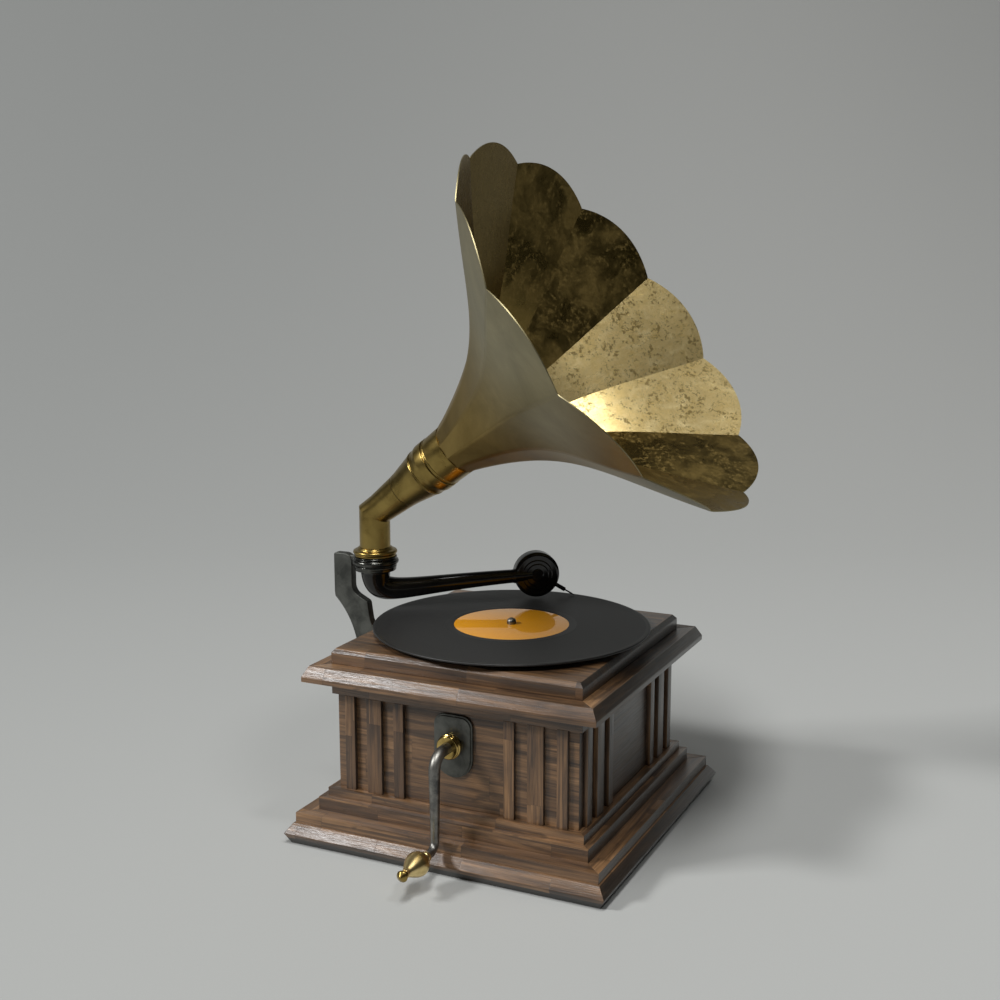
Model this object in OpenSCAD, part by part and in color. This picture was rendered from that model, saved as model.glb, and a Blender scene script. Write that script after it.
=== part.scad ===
// Table gramophone with a twelve-petal brass horn, a square wooden cabinet and a spring motor.
// Millimetres. +Z is up, and the origin is the centre of the cabinet's underside.
// The winding crank is on the front face (-Y), and the horn stands on a bracket at the left (-X).

/* [Cabinet] */
// Width and depth of the cabinet body, panel face to panel face
body_w = 227; // [222:1:240]
// Thickness of the body panels
panel_t = 12; // [8:1:14]
// Height of the body panels between the plinth and the lid moulding
panel_h = 98.6; // [96:0.2:110]
// Thickness of the bottom board
bottom_t = 10; // [6:1:14]

/* [Base moulding] */
// Distance from the body face to the underside's edge
foot_out = 31.8; // [29:0.1:34]
// Distance from the body face to the sharp tip
tip_out = 36.6; // [33:0.1:40]
// Height of the tip above the table
tip_z = 9.4; // [6:0.1:12]
// Distance from the body face to the top of the tip's bevel
bevel_out = 30.3; // [28:0.1:33]
// Height of the bevel above the tip
bevel_h = 8.7; // [6:0.1:11]
// Distance from the body face to the lowest step
ledge_out = 28.7; // [26:0.1:30]
// Height of the lowest step
ledge_h = 9.4; // [6:0.1:12]
// Distance from the body face to the middle step
middle_out = 14; // [11:0.1:17]
// Height of the middle step
middle_h = 11.7; // [8:0.1:14]
// Distance from the body face to the upper step
upper_out = 7.8; // [5:0.1:10]
// Height of the upper step
upper_h = 7.6; // [5:0.1:10]

/* [Lid and motor board] */
// Height of the flat moulding under the lid
neck_h = 13.3; // [10:0.1:16]
// Distance from the body face to the flat moulding's face
neck_out = 4; // [3:0.1:6]
// Distance from the body face to the lid moulding's outer edge
lid_out = 23.1; // [20:0.1:26]
// Height of the lid moulding's upright edge
lid_edge_h = 4.4; // [3:0.1:7]
// Distance from the body face to the top of the lid bevel
lid_top_out = 18; // [14:0.1:20]
// Height of the lid bevel
lid_bevel_h = 9.4; // [7:0.1:12]
// Distance from the body face to the motor board's edge
board_out = 4; // [2:0.1:8]
// Height of the motor board's upright edge
board_edge_h = 9.9; // [8:0.1:12]
// Width of the motor board's top bevel
board_bevel = 3.4; // [2:0.1:5]
// Height of the motor board's top bevel
board_bevel_h = 3.9; // [2:0.1:5]

/* [Battens] */
// Thickness of the upright battens
batten_t = 4; // [3:0.1:5]
// Width of the narrow battens
narrow_batten_w = 9.6; // [7:0.1:12]
// Width of the broad batten between two narrow ones
broad_batten_w = 14.6; // [11:0.1:17]
// Distance from the body's corner to the outer batten's centre
outer_batten_in = 13.5; // [12:0.5:15]
// Spacing of the batten centres
batten_pitch = 24; // [21:0.5:25]

/* [Turntable] */
// Diameter of the record
record_d = 250; // [240:1:255]
// Thickness of the record
record_t = 2; // [1.5:0.1:2.4]
// Diameter of the record's label
label_d = 104; // [90:1:110]
// Thickness of the label, which lies in a recess of the record
label_t = 0.3; // [0.2:0.1:0.5]
// Diameter of the platter
platter_d = 226; // [200:1:230]
// Thickness of the platter's disc
platter_t = 1.6; // [1.2:0.1:2.2]
// Height of the platter's turned-down rim
platter_rim_h = 1.3; // [1:0.1:1.6]
// Gap between the motor board and the platter's rim
platter_gap = 0.4; // [0.3:0.1:1]
// Thickness of the felt mat
felt_t = 1; // [0.6:0.1:1.5]
// Diameter of the spindle
spindle_d = 8.4; // [7:0.1:9]
// Height of the spindle's domed end above the record
spindle_up = 5.6; // [5:0.1:8]

/* [Crank] */
// Height of the crank's axis above the table
crank_z = 104; // [102:0.5:106]
// Distance from the crank's axis to the handle's axis
crank_throw = 80.5; // [70:0.5:82]
// Diameter of the winding rod
rod_d = 9.8; // [8:0.1:10.4]
// Diameter of the crank arm where it meets the handle's pin
arm_end_d = 7.2; // [6:0.1:8]
// Distance from the body face to the crank arm's plane
arm_out = 36; // [35:0.5:40]
// Radius of the winding rod's bend
rod_bend_r = 13; // [10:0.5:14]
// Radius of the bend into the handle's pin
pin_bend_r = 9; // [7:0.5:11]
// Width of the escutcheon plate
plate_w = 36; // [30:1:38]
// Height of the escutcheon plate
plate_h = 55; // [48:1:56]
// Thickness of the escutcheon plate
plate_t = 3.6; // [3:0.2:5]
// Radius of the escutcheon plate's upper corners
plate_top_r = 10; // [6:0.5:14]
// Diameter of the crank bush
bush_d = 17; // [15:0.5:20]
// Diameter of the crank bush's double flange
bush_flange_d = 21.6; // [19:0.2:24]
// Distance that the bush stands out of the escutcheon plate
bush_out = 10; // [8:0.5:12]

/* [Handle] */
// Diameter of the handle's bulb
bulb_d = 21; // [17:0.5:24]
// Length of the handle from its collar to its neck
handle_l = 36; // [32:0.5:40]
// Diameter of the handle's collar
handle_collar_d = 9.6; // [8.6:0.2:11]
// Diameter of the handle's neck
handle_neck_d = 7.4; // [7:0.2:8.6]
// Diameter of the pin that the handle turns on
handle_pin_d = 4.4; // [3.6:0.1:5]
// Diameter of the end cap
cap_d = 10; // [8:0.5:12]
// Length of the end cap
cap_l = 8; // [6:0.5:10]

/* [Bracket and swivel] */
// Distance from the turntable's axis to the horn's upright axis
pivot_out = 141.3; // [139:0.1:146]
// Thickness of the cast bracket
bracket_t = 8.5; // [7.5:0.5:10]
// Width of the bracket's head
bracket_head_w = 19.5; // [17:0.5:22]
// Width of the bracket's foot plate
bracket_foot_w = 56; // [44:1:60]
// Height of the bracket's foot plate
bracket_foot_h = 58; // [50:1:62]
// Thickness of the bracket's foot plate
bracket_foot_t = 6; // [4:0.5:7]
// Diameter of the bracket screws
bracket_screw_d = 5; // [4:0.5:6]
// Height of the swivel collar's underside above the table
collar_z = 215.5; // [213.5:0.5:217.5]
// Height of the swivel collar
collar_h = 13.5; // [12:0.5:16]
// Largest diameter of the swivel collar
collar_d = 44; // [40:0.5:46]
// Bore of the swivel collar
collar_bore_d = 22; // [20:0.5:23]

/* [Horn] */
// Number of petals
petals = 12; // [12:1:12]
// Thickness of the horn's sheet brass
sheet_t = 0.9; // [0.7:0.1:1.4]
// Angle of the horn's axis above level
horn_tilt = 37.4; // [34:0.1:41]
// Height of the elbow's corner above the table
elbow_z = 269.5; // [264:0.1:276]
// Diameter of the elbow tube
elbow_d = 28.8; // [27:0.1:29.4]
// Distance along the horn's axis from the elbow's corner to the neck
neck_at = 38.5; // [36:0.5:41]
// Diameter of the neck's narrow end
neck_d = 34.2; // [33:0.1:35.4]
// Distance along the horn's axis from the elbow's corner to the throat
throat_at = 70.5; // [68:0.5:73]
// Diameter of the throat's narrow end
throat_d = 46; // [44.6:0.1:47]
// Distance along the horn's axis from the elbow's corner to the throat's dark groove
groove_at = 87.2; // [85:0.1:89]
// Distance along the horn's axis from the elbow's corner to the petals
bell_at = 108; // [104:0.5:112]
// Distance between opposite creases where the petals begin
bell_d0 = 50.4; // [49.2:0.2:52]
// Distance along the horn's axis over which the petals flare, from root to crease end
bell_l = 183.9; // [172:0.1:196]
// Distance between opposite crease ends at the mouth
mouth_d = 366.3; // [342:0.1:390]
// Flare angle at the root of the petals
flare_a0 = 20.5; // [18:0.1:23]
// Flare angle at the mouth
flare_a1 = 49.6; // [46:0.1:52]
// Distance that each petal's lobe stands past its crease ends, along the axis
lobe_h = 10.4; // [8:0.1:13]

/* [Tonearm and soundbox] */
// Swing of the tonearm at rest, from the line over the spindle
arm_swing = 35.4; // [34:0.1:38]
// Length of the tonearm from its upright axis to its tip
arm_l = 129.5; // [126.5:0.5:132.5]
// Diameter of the tonearm at the swivel
arm_d0 = 28; // [27:0.2:28.6]
// Diameter of the tonearm at its tip
arm_d1 = 13; // [12.4:0.2:14]
// Wall of the tonearm's pipe
arm_wall = 1.6; // [1.4:0.1:2]
// Height of the tonearm's tip above the record
arm_up = 23.7; // [23.4:0.1:24.6]
// Diameter of the soundbox
box_d = 43.6; // [40:0.2:44.4]
// Thickness of the soundbox
box_t = 13.2; // [12.9:0.1:13.8]
// Distance from the tonearm's line to the soundbox's back face
box_back = 3.6; // [3.2:0.1:4]
// Distance from the tonearm's tip to the soundbox's centre
box_at = 25.2; // [24.6:0.1:26]
// Angle of the needle below the tonearm's line
needle_a = 34.4; // [33.6:0.1:35.4]
// Diameter of the needle chuck
chuck_d = 4; // [3.6:0.1:4.4]
// Diameter of the needle
needle_d = 1.5; // [1.2:0.1:1.8]
// Gap between the needle's point and the record
needle_gap = 0.3; // [0.2:0.1:0.5]

/* [Spring motor] */
// Tooth size of the driving gears, as module
gear_m = 1; // [0.95:0.05:1.05]
// Teeth of the barrel gear
barrel_teeth = 72; // [70:1:74]
// Teeth of the second arbor's wheel
second_teeth = 60; // [58:1:62]
// Teeth of the pinions
pinion_teeth = 12; // [12:1:12]
// Teeth of the governor wheel, which has a finer module
governor_teeth = 75; // [73:1:75]
// Tooth size of the governor's gears, as module
fine_m = 0.8; // [0.75:0.05:0.8]
// Width of the driving gears' teeth
gear_w = 3.6; // [3:0.2:4]
// Thickness of the motor plates
motor_plate_t = 3; // [2:0.5:4]
// Distance from the front panel and from the wheels to the edges of the motor plates
motor_edge = 8.5; // [8:0.5:9]
// Distance between two wheels of the motor that lie above each other
wheel_gap = 4; // [3.4:0.1:4.2]
// Diameter of the spring barrel
barrel_d = 66; // [60:1:68]
// Height of the spring barrel's case below its gear
barrel_h = 19; // [16:0.5:20]
// Diameter of the motor's arbors
arbor_d = 6; // [5:0.5:7]
// Teeth of the bevel wheel on the barrel arbor
bevel_wheel_teeth = 20; // [20:1:20]
// Teeth of the bevel pinion on the winding rod
bevel_pinion_teeth = 14; // [14:1:14]
// Tooth size of the bevel gears, as module
bevel_m = 1.4; // [1.3:0.05:1.4]

/* [Fits] */
// Running clearance of a shaft in its bore, on the radius
run_gap = 0.05; // [0.03:0.01:0.08]
// Gap between pieces that move past each other
move_gap = 0.3; // [0.3:0.05:0.4]
// Play between meshing teeth, along the pitch circle
backlash = 0.24; // [0.2:0.02:0.3]

/* [Hidden] */
$fn = 64;
cut = 1;                       // extra length of a cutting shape past the face it cuts

walnut = "#6b4a33";
walnut_dark = "#553a28";
steel = "#55585a";
iron = "#3b3d3d";
black = "#17181a";
brass = "#a88a45";
brass_dark = "#7d6a3c";

// Cabinet levels and half-widths
body_half = body_w / 2;
inner_half = body_half - panel_t;
bevel_z = tip_z + bevel_h;
ledge_z = bevel_z + ledge_h;
middle_z = ledge_z + middle_h;
plinth_z = middle_z + upper_h;
lid_z = plinth_z + panel_h;
neck_z = lid_z - neck_h;
lid_top_z = lid_z + lid_edge_h + lid_bevel_h;
board_half = body_half + board_out;
board_edge_z = lid_top_z + board_edge_h;
board_z = board_edge_z + board_bevel_h;

// Turntable levels
rim_z = board_z + platter_gap;
platter_z = rim_z + platter_rim_h;
felt_z = platter_z + platter_t;
record_z = felt_z + felt_t;
record_top = record_z + record_t;
spindle_r = spindle_d / 2;

// Crank
arm_y = -body_half - arm_out;
handle_z = crank_z - crank_throw;
rod_r = rod_d / 2;
pin_r = handle_pin_d / 2;
pin_start_y = arm_y - pin_bend_r;
handle_y = pin_start_y - 6;
cap_y = handle_y - handle_l - move_gap;

// Bracket and swivel
pivot_x = -pivot_out;
collar_r = collar_d / 2;
collar_top = collar_z + collar_h;
bore_r = collar_bore_d / 2;
spigot_r = bore_r - run_gap;
spigot_in = spigot_r - 1.6;
spigot_h = 5.5;
head_gap = 1.8;
head_x = pivot_x - collar_r - head_gap;
tongue_w = 5;
tongue_in = 3.6;
foot_mid_z = neck_z - 10 - bracket_foot_h / 2;
screw_y = bracket_foot_w / 2 - 9;
screw_z = bracket_foot_h / 2 - 9;

// Horn, in its own frame: origin at the elbow's corner, z along the horn's axis
petal_a = 360 / petals;
flat = cos(petal_a / 2);
bell_end = bell_at + bell_l;
elbow_r = elbow_d / 2;
mitre = (90 - horn_tilt) / 2;
ferrule_z = collar_top + move_gap;
ferrule_h = 6.8;
ferrule_r = 20.7;
tube_socket = 4;

// Flare curve of a crease: a cubic from the root to the crease end, as [distance, radius]
flare_p0 = [bell_at, bell_d0 / 2];
flare_p3 = [bell_end, mouth_d / 2];
flare_p1 = flare_p0 + bell_l * 0.598 * [cos(flare_a0), sin(flare_a0)];
flare_p2 = flare_p3 - bell_l * 0.617 * [cos(flare_a1), sin(flare_a1)];
flare_steps = 16;

// Tonearm, in the upright plane of its swing: x outwards from the upright axis, y up
arm_p0 = [0, collar_z - move_gap];
arm_p3 = [arm_l, record_top + arm_up];
arm_p1 = [0, arm_p3[1] - arm_l * 0.1334];
arm_p2 = [arm_l * 0.1137, arm_p3[1] - arm_l * 0.0371];
arm_rise = atan2(arm_p3[1] - arm_p2[1], arm_p3[0] - arm_p2[0]);
arm_tip_r = arm_d1 / 2;
arm_sides = 20;
arm_rings = 13;
tip_spigot_r = arm_tip_r - 2.2;
tip_spigot_l = 4.5;

// Soundbox, in its own frame: x along the tonearm's tip line, y through the disc, z up
box_r = box_d / 2;
ring_t = 3;
ring_w = 5;
ring_y = box_t - box_back - ring_t;
gasket_t = 1;
mica_t = 0.5;
seat_y = ring_y - 2 * gasket_t - mica_t;
seat_r = box_r - 2;
lever_y = ring_y + 1.6;
notch_r = chuck_d / 2 + 0.4;
needle_reach = (box_at * sin(arm_rise) + arm_up - needle_gap) / sin(needle_a - arm_rise);
chuck_start = box_r - 1.6;
chuck_end = box_r + 13;
chuck_hole_l = 8;
screw_in = 3;

// Spring motor
bevel_pinion_r = bevel_m * bevel_pinion_teeth / 2;
motor_top_z = lid_top_z - motor_plate_t;
motor_low_z = crank_z - bevel_pinion_r - bevel_m - 1 - motor_plate_t;
motor_space = motor_top_z - motor_low_z;
arbor_r = arbor_d / 2;
pinion_r = gear_m * pinion_teeth / 2;
second_r = gear_m * second_teeth / 2;
barrel_gear_r = gear_m * barrel_teeth / 2;
governor_wheel_r = fine_m * governor_teeth / 2;
fine_pinion_r = fine_m * pinion_teeth / 2;
second_dist = second_r + pinion_r;
barrel_dist = barrel_gear_r + pinion_r;
governor_dist = governor_wheel_r + fine_pinion_r;
barrel_y = -1.24 * barrel_dist;
second_y = (barrel_dist * barrel_dist - second_dist * second_dist - barrel_y * barrel_y)
    / (-2 * barrel_y);
second_x = sqrt(second_dist * second_dist - second_y * second_y);
governor_a = 150;
governor_x = governor_dist * cos(governor_a);
governor_y = governor_dist * sin(governor_a);
second_wheel_z = motor_top_z - wheel_gap - gear_w;
barrel_gear_z = second_wheel_z - wheel_gap - gear_w;
barrel_z = barrel_gear_z - barrel_h;
governor_gear_z = motor_low_z + motor_plate_t + wheel_gap;
bevel_wheel_r = bevel_m * bevel_wheel_teeth / 2;
bevel_face = 5;
motor_left = governor_x - 3 * motor_edge;
motor_right = second_x + second_r + motor_edge;
motor_front = motor_edge - inner_half;
motor_back = governor_y + 2.5 * motor_edge;
pillar_in = 7;
pillar_r = 4;

// Outline helpers
function arc(c, r, a0, a1, n) =
    [for (i = [0:n]) c + r * [cos(a0 + (a1 - a0) * i / n), sin(a0 + (a1 - a0) * i / n)]];
function cubic(p0, p1, p2, p3, t) =
    pow(1 - t, 3) * p0 + 3 * t * pow(1 - t, 2) * p1 + 3 * t * t * (1 - t) * p2 + pow(t, 3) * p3;
function cubic_dir(p0, p1, p2, p3, t) =
    pow(1 - t, 2) * (p1 - p0) + 2 * t * (1 - t) * (p2 - p1) + t * t * (p3 - p2);
function unit(v) = v / norm(v);

// Puts its children at the side of the cabinet: 0 front, 1 right, 2 back, 3 left
module on_side(side) {
    rotate([0, 0, 90 * side]) children();
}

// A length of moulding with mitred ends. Points are [distance out of the body face, height].
module mitred_length(side, points) {
    reach = body_half + tip_out + 20;
    on_side(side)
        intersection() {
            translate([-reach, 0, 0])
                rotate([90, 0, 90])
                    linear_extrude(2 * reach)
                        polygon([for (p = points) [-body_half - p[0], p[1]]]);
            linear_extrude(board_z)
                polygon([[0, 0], [-reach, -reach], [reach, -reach]]);
        }
}

module base_moulding(side) {
    color(walnut)
        mitred_length(side, [
            [-panel_t, 0], [foot_out, 0], [tip_out, tip_z], [bevel_out, bevel_z],
            [ledge_out, bevel_z], [ledge_out, ledge_z], [middle_out, ledge_z],
            [middle_out, middle_z], [upper_out, middle_z], [upper_out, plinth_z],
            [-panel_t, plinth_z]
        ]);
}

module lid_moulding(side) {
    color(walnut)
        mitred_length(side, [
            [-panel_t, lid_z], [lid_out, lid_z], [lid_out, lid_z + lid_edge_h],
            [lid_top_out, lid_top_z], [-panel_t, lid_top_z]
        ]);
}

module bottom_board() {
    color(walnut_dark)
        translate([-inner_half, -inner_half, 0])
            cube([2 * inner_half, 2 * inner_half, bottom_t]);
}

// Front and back panels run the full width, and the side panels stand between them
module body_panel(side, w) {
    on_side(side)
        translate([-w / 2, -body_half, plinth_z])
            cube([w, panel_t, panel_h]);
}

module front_panel() {
    color(walnut)
        difference() {
            body_panel(0, body_w);
            translate([0, -body_half + panel_t + cut, crank_z])
                rotate([90, 0, 0])
                    cylinder(r = bush_d / 2, h = panel_t + 2 * cut);
        }
}

module back_panel() {
    color(walnut) body_panel(2, body_w);
}

module right_panel() {
    color(walnut) body_panel(1, 2 * inner_half);
}

module left_panel() {
    color(walnut)
        difference() {
            body_panel(3, 2 * inner_half);
            bracket_screw_places()
                cylinder(r = bracket_screw_d / 2, h = 2 * panel_t, center = true);
        }
}

module battens() {
    batten_h = neck_z - plinth_z;
    outer_at = body_half - outer_batten_in;
    color(walnut_dark)
        for (side = [0:3])
            for (end = [-1, 1])
                for (i = [0:2])
                    on_side(side)
                        translate([
                            end * (outer_at - i * batten_pitch),
                            -body_half - batten_t / 2,
                            plinth_z + batten_h / 2
                        ])
                            cube(
                                [i == 1 ? broad_batten_w : narrow_batten_w, batten_t, batten_h],
                                center = true
                            );
}

module neck_moulding() {
    outer = body_w + 2 * neck_out;
    color(walnut)
        translate([0, 0, neck_z])
            linear_extrude(neck_h)
                difference() {
                    square(outer, center = true);
                    square(body_w, center = true);
                }
}

// The slab is the common part of two extrusions of one bevelled section
module slab_section() {
    rotate([90, 0, 0])
        linear_extrude(3 * board_half, center = true)
            polygon([
                [-board_half, lid_top_z], [board_half, lid_top_z], [board_half, board_edge_z],
                [board_half - board_bevel, board_z], [board_bevel - board_half, board_z],
                [-board_half, board_edge_z]
            ]);
}

module motor_board() {
    color(walnut)
        difference() {
            intersection() {
                slab_section();
                rotate([0, 0, 90]) slab_section();
            }
            translate([0, 0, lid_top_z - cut])
                cylinder(r = spindle_r + 2, h = board_z);
        }
}

// Escutcheon outline, from the crank's axis: a round lower end and two upper corners
module plate_outline(inset) {
    w = plate_w - 2 * inset;
    r_low = w / 2;
    r_top = plate_top_r - inset;
    low = -plate_h / 2 - 2 + inset + r_low;
    high = plate_h / 2 - 2 - inset;
    translate([0, low]) circle(r = r_low);
    translate([-w / 2, low]) square([w, high - low - r_top]);
    translate([r_top - w / 2, low]) square([w - 2 * r_top, high - low]);
    for (end = [-1, 1])
        translate([end * (w / 2 - r_top), high - r_top]) circle(r = r_top);
}

module escutcheon() {
    face = 1.2;
    color(iron)
        translate([0, -body_half, crank_z])
            rotate([90, 0, 0])
                difference() {
                    union() {
                        linear_extrude(plate_t - face) plate_outline(0);
                        linear_extrude(plate_t) plate_outline(1.6);
                    }
                    translate([0, 0, -cut]) cylinder(r = bush_d / 2, h = plate_t + 2 * cut);
                }
}

// The bush is a press fit in panel and plate, with a double ring at its outer end
module crank_bush() {
    r = bush_d / 2;
    rf = bush_flange_d / 2;
    long = panel_t + plate_t + bush_out;
    color(brass)
        translate([0, panel_t - body_half, crank_z])
            rotate([90, 0, 0])
                rotate_extrude()
                    polygon([
                        [rod_r + run_gap, 0], [r, 0], [r, long - 5.6], [rf - 0.8, long - 5.6],
                        [rf, long - 4.8], [rf, long - 3.2], [rf - 1.2, long - 2.6],
                        [rf - 1.2, long - 2.2], [rf - 0.5, long - 1.6], [rf - 0.5, long - 0.8],
                        [rf - 1.4, long], [rod_r + run_gap, long]
                    ]);
}

// A quarter bend of a round rod in the YZ plane, about an axis along X
module rod_bend(r, bend_r, a0) {
    rotate([0, -90, 0])
        rotate([0, 0, a0])
            rotate_extrude(angle = 90)
                translate([bend_r, 0]) circle(r = r);
}

module winding_crank() {
    end_r = arm_end_d / 2;
    arm_low = handle_z + pin_bend_r;
    arm_high = crank_z - rod_bend_r;
    rod_inner_y = barrel_y - bevel_wheel_r;
    rod_outer_y = arm_y + rod_bend_r;
    color(steel)
        union() {
            translate([0, rod_inner_y, crank_z])
                rotate([90, 0, 0]) cylinder(r = rod_r, h = rod_inner_y - rod_outer_y);
            translate([0, rod_outer_y, arm_high]) rod_bend(rod_r, rod_bend_r, -90);
            translate([0, arm_y, arm_low])
                cylinder(r1 = end_r, r2 = rod_r, h = arm_high - arm_low);
            translate([0, pin_start_y, arm_low]) rod_bend(end_r, pin_bend_r, 90);
            translate([0, pin_start_y, handle_z])
                rotate([90, 0, 0]) cylinder(r = end_r, h = pin_start_y - handle_y - move_gap);
            translate([0, pin_start_y, handle_z])
                rotate([90, 0, 0]) cylinder(r = pin_r, h = pin_start_y - cap_y + cap_l - 3);
            translate([0, barrel_y, crank_z])
                rotate([90, 0, 0])
                    rotate([0, 0, 90])
                        bevel_gear(bevel_pinion_teeth, bevel_wheel_teeth);
        }
}

// Turned handle: a collar, a bulb that swells fast and tapers slowly, and a narrow neck
module crank_handle() {
    rc = handle_collar_d / 2;
    rb = bulb_d / 2;
    rn = handle_neck_d / 2;
    color(brass)
        translate([0, handle_y, handle_z])
            rotate([90, 0, 0])
                rotate_extrude()
                    polygon(concat(
                        [[pin_r + run_gap, 0], [rc, 0.4], [rc, 3.6], [rc - 0.7, 4.2]],
                        [for (i = [0:8]) cubic([rc - 0.7, 4.8], [rc + 2, 6.5], [rb, 11.5],
                                               [rb, 16], i / 8)],
                        [for (i = [1:8]) cubic([rb, 16], [rb, 20], [rn + 2.6, 27],
                                               [rn, handle_l - 2.6], i / 8)],
                        [[rn, handle_l], [pin_r + run_gap, handle_l]]
                    ));
}

module handle_cap() {
    r = cap_d / 2;
    color(brass)
        translate([0, cap_y, handle_z])
            rotate([90, 0, 0])
                difference() {
                    rotate_extrude()
                        polygon([
                            [0, 0], [3, 0], [3.4, 1.4], [r - 0.6, 3], [r, 4], [r - 0.5, 5],
                            [1, cap_l], [0, cap_l]
                        ]);
                    translate([0, 0, -cut]) cylinder(r = pin_r, h = cap_l - 3 + cut);
                }
}

module platter() {
    r = platter_d / 2;
    color(steel)
        rotate_extrude()
            polygon([
                [spindle_r, rim_z], [12, rim_z], [12, platter_z], [r - 2, platter_z],
                [r - 2, rim_z], [r, rim_z], [r, felt_z - 0.6], [r - 0.6, felt_z],
                [spindle_r, felt_z]
            ]);
}

module felt_mat() {
    color("#2f3a30")
        translate([0, 0, felt_z])
            difference() {
                cylinder(r = platter_d / 2 - 1, h = felt_t);
                translate([0, 0, -cut]) cylinder(r = spindle_r, h = felt_t + 2 * cut);
            }
}

module record() {
    r = record_d / 2;
    color(black)
        rotate_extrude()
            polygon([
                [spindle_r, record_z], [r - 0.5, record_z], [r, record_z + 0.6],
                [r, record_top - 0.6], [r - 0.5, record_top], [label_d / 2, record_top],
                [label_d / 2, record_top - label_t], [spindle_r, record_top - label_t]
            ]);
}

module record_label() {
    color("#a86e0e")
        translate([0, 0, record_top - label_t])
            difference() {
                cylinder(r = label_d / 2, h = label_t);
                translate([0, 0, -cut]) cylinder(r = spindle_r, h = label_t + 2 * cut);
            }
}

// The spindle carries its pinion and the governor wheel, and ends in a dome
module spindle() {
    dome = spindle_r * 0.9;
    top = record_top + spindle_up;
    foot = motor_low_z + move_gap;
    second_a = atan2(second_y, second_x);
    color(steel)
        union() {
            rotate_extrude()
                polygon(concat(
                    [[0, foot], [spindle_r, foot], [spindle_r, top - dome]],
                    [for (i = [1:8]) [spindle_r * cos(i * 11.25), top - dome + dome * sin(i * 11.25)]]
                ));
            translate([0, 0, second_wheel_z - 1])
                spur_gear(pinion_teeth, gear_m, gear_w + 2, second_a);
            translate([0, 0, governor_gear_z])
                spur_gear(governor_teeth, fine_m, gear_w, governor_a);
        }
}

// Outline of the cast bracket: a straight head beside the collar, a slanted waist with one
// hollow side and one shoulder, and a heel that passes the lid moulding and turns in under it
function bracket_outline() =
    let (
        head_l = head_x - bracket_head_w,
        head_top = collar_top - 0.5,
        head_r = 8,
        waist_r = 11,
        waist_z = collar_z - 16.5,
        shoulder_r = 4,
        shoulder_x = head_x + 13,
        shoulder_z = collar_z - 34.3,
        hollow_r = 80,
        hollow_x = head_l - 55,
        hollow_z = collar_z - 87,
        heel_x = -body_half - lid_out - 3,
        heel_turn = 8,
        foot_x = -body_half - bracket_foot_t,
        foot_top = foot_mid_z + bracket_foot_h / 2,
        foot_low = foot_mid_z - bracket_foot_h / 2
    )
    concat(
        arc([head_x - head_r, head_top - head_r], head_r, 90, 0, 6),
        arc([head_x + waist_r, waist_z], waist_r, 180, 243.4, 6),
        arc([shoulder_x, shoulder_z], shoulder_r, 63.4, 8, 4),
        [[shoulder_x + 4.8, shoulder_z - 5.4], [shoulder_x + 6.2, shoulder_z - 14.2],
         [heel_x, lid_top_z - heel_turn],
         [heel_x, lid_z - 2], [foot_x - 4, neck_z - 5],
         [foot_x, foot_top - 4], [foot_x, foot_low + 4], [foot_x - 3, foot_low + 10]],
        [[heel_x - 14, neck_z - 12]],
        arc([hollow_x, hollow_z], hollow_r, 14.3, 45.2, 8),
        [[head_l + 0.6, collar_z - 29.5], [head_l, collar_z - 24.5]],
        arc([head_l + 2, head_top - 2], 2, 180, 90, 3)
    );

module bracket_screw_places() {
    for (y = [-screw_y, screw_y])
        for (z = [-screw_z, screw_z])
            translate([-body_half, y, foot_mid_z + z]) rotate([0, 90, 0]) children();
}

module bracket() {
    color(iron)
        difference() {
            union() {
                rotate([90, 0, 0])
                    linear_extrude(bracket_t, center = true) polygon(bracket_outline());
                translate([head_x - 4, -tongue_w / 2, collar_z + 2])
                    cube([4 + head_gap + tongue_in, tongue_w, collar_h - 4]);
                translate([-body_half, 0, foot_mid_z])
                    rotate([0, -90, 0])
                        linear_extrude(bracket_foot_t)
                            round_plate(bracket_foot_h, bracket_foot_w, 8);
            }
            bracket_screw_places()
                cylinder(r = bracket_screw_d / 2, h = 4 * bracket_foot_t, center = true);
        }
}

// A flat plate with round corners
module round_plate(w, h, r) {
    square([w - 2 * r, h], center = true);
    square([w, h - 2 * r], center = true);
    for (x = [-1, 1])
        for (y = [-1, 1])
            translate([x * (w / 2 - r), y * (h / 2 - r)]) circle(r = r);
}

module bracket_screws() {
    head_r = bracket_screw_d * 0.9;
    color(steel)
        bracket_screw_places() {
            translate([0, 0, -bracket_foot_t])
                cylinder(r = bracket_screw_d / 2, h = bracket_foot_t + panel_t - 1);
            difference() {
                translate([0, 0, -bracket_foot_t - 2.4])
                    cylinder(r1 = head_r - 1, r2 = head_r, h = 2.4);
                translate([-0.6, -bracket_screw_d, -bracket_foot_t - 3])
                    cube([1.2, 2 * bracket_screw_d, 1.6]);
            }
        }
}

// Polished collar with a bead, slotted at the back for the bracket's tongue
module swivel_collar() {
    r = collar_r;
    color(steel)
        translate([pivot_x, 0, collar_z])
            difference() {
                rotate_extrude()
                    polygon(concat(
                        [[bore_r, 0], [r - 2.8, 0], [r - 2.4, 0.6], [r - 2.4, 2.4], [r - 2, 3],
                         [r - 2, 4.4], [r - 2.8, 5], [r - 2.8, 5.4]],
                        arc([r - 2.6, 8.4], 2.6, -80, 80, 8),
                        [[r - 2.6, 11.6], [r - 1.6, 12.4], [r - 1.6, 13],
                         [r - 2.1, collar_h], [bore_r, collar_h]]
                    ));
                translate([-r - cut, -tongue_w / 2, 2])
                    cube([tongue_in + cut, tongue_w, collar_h - 4]);
            }
}

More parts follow.
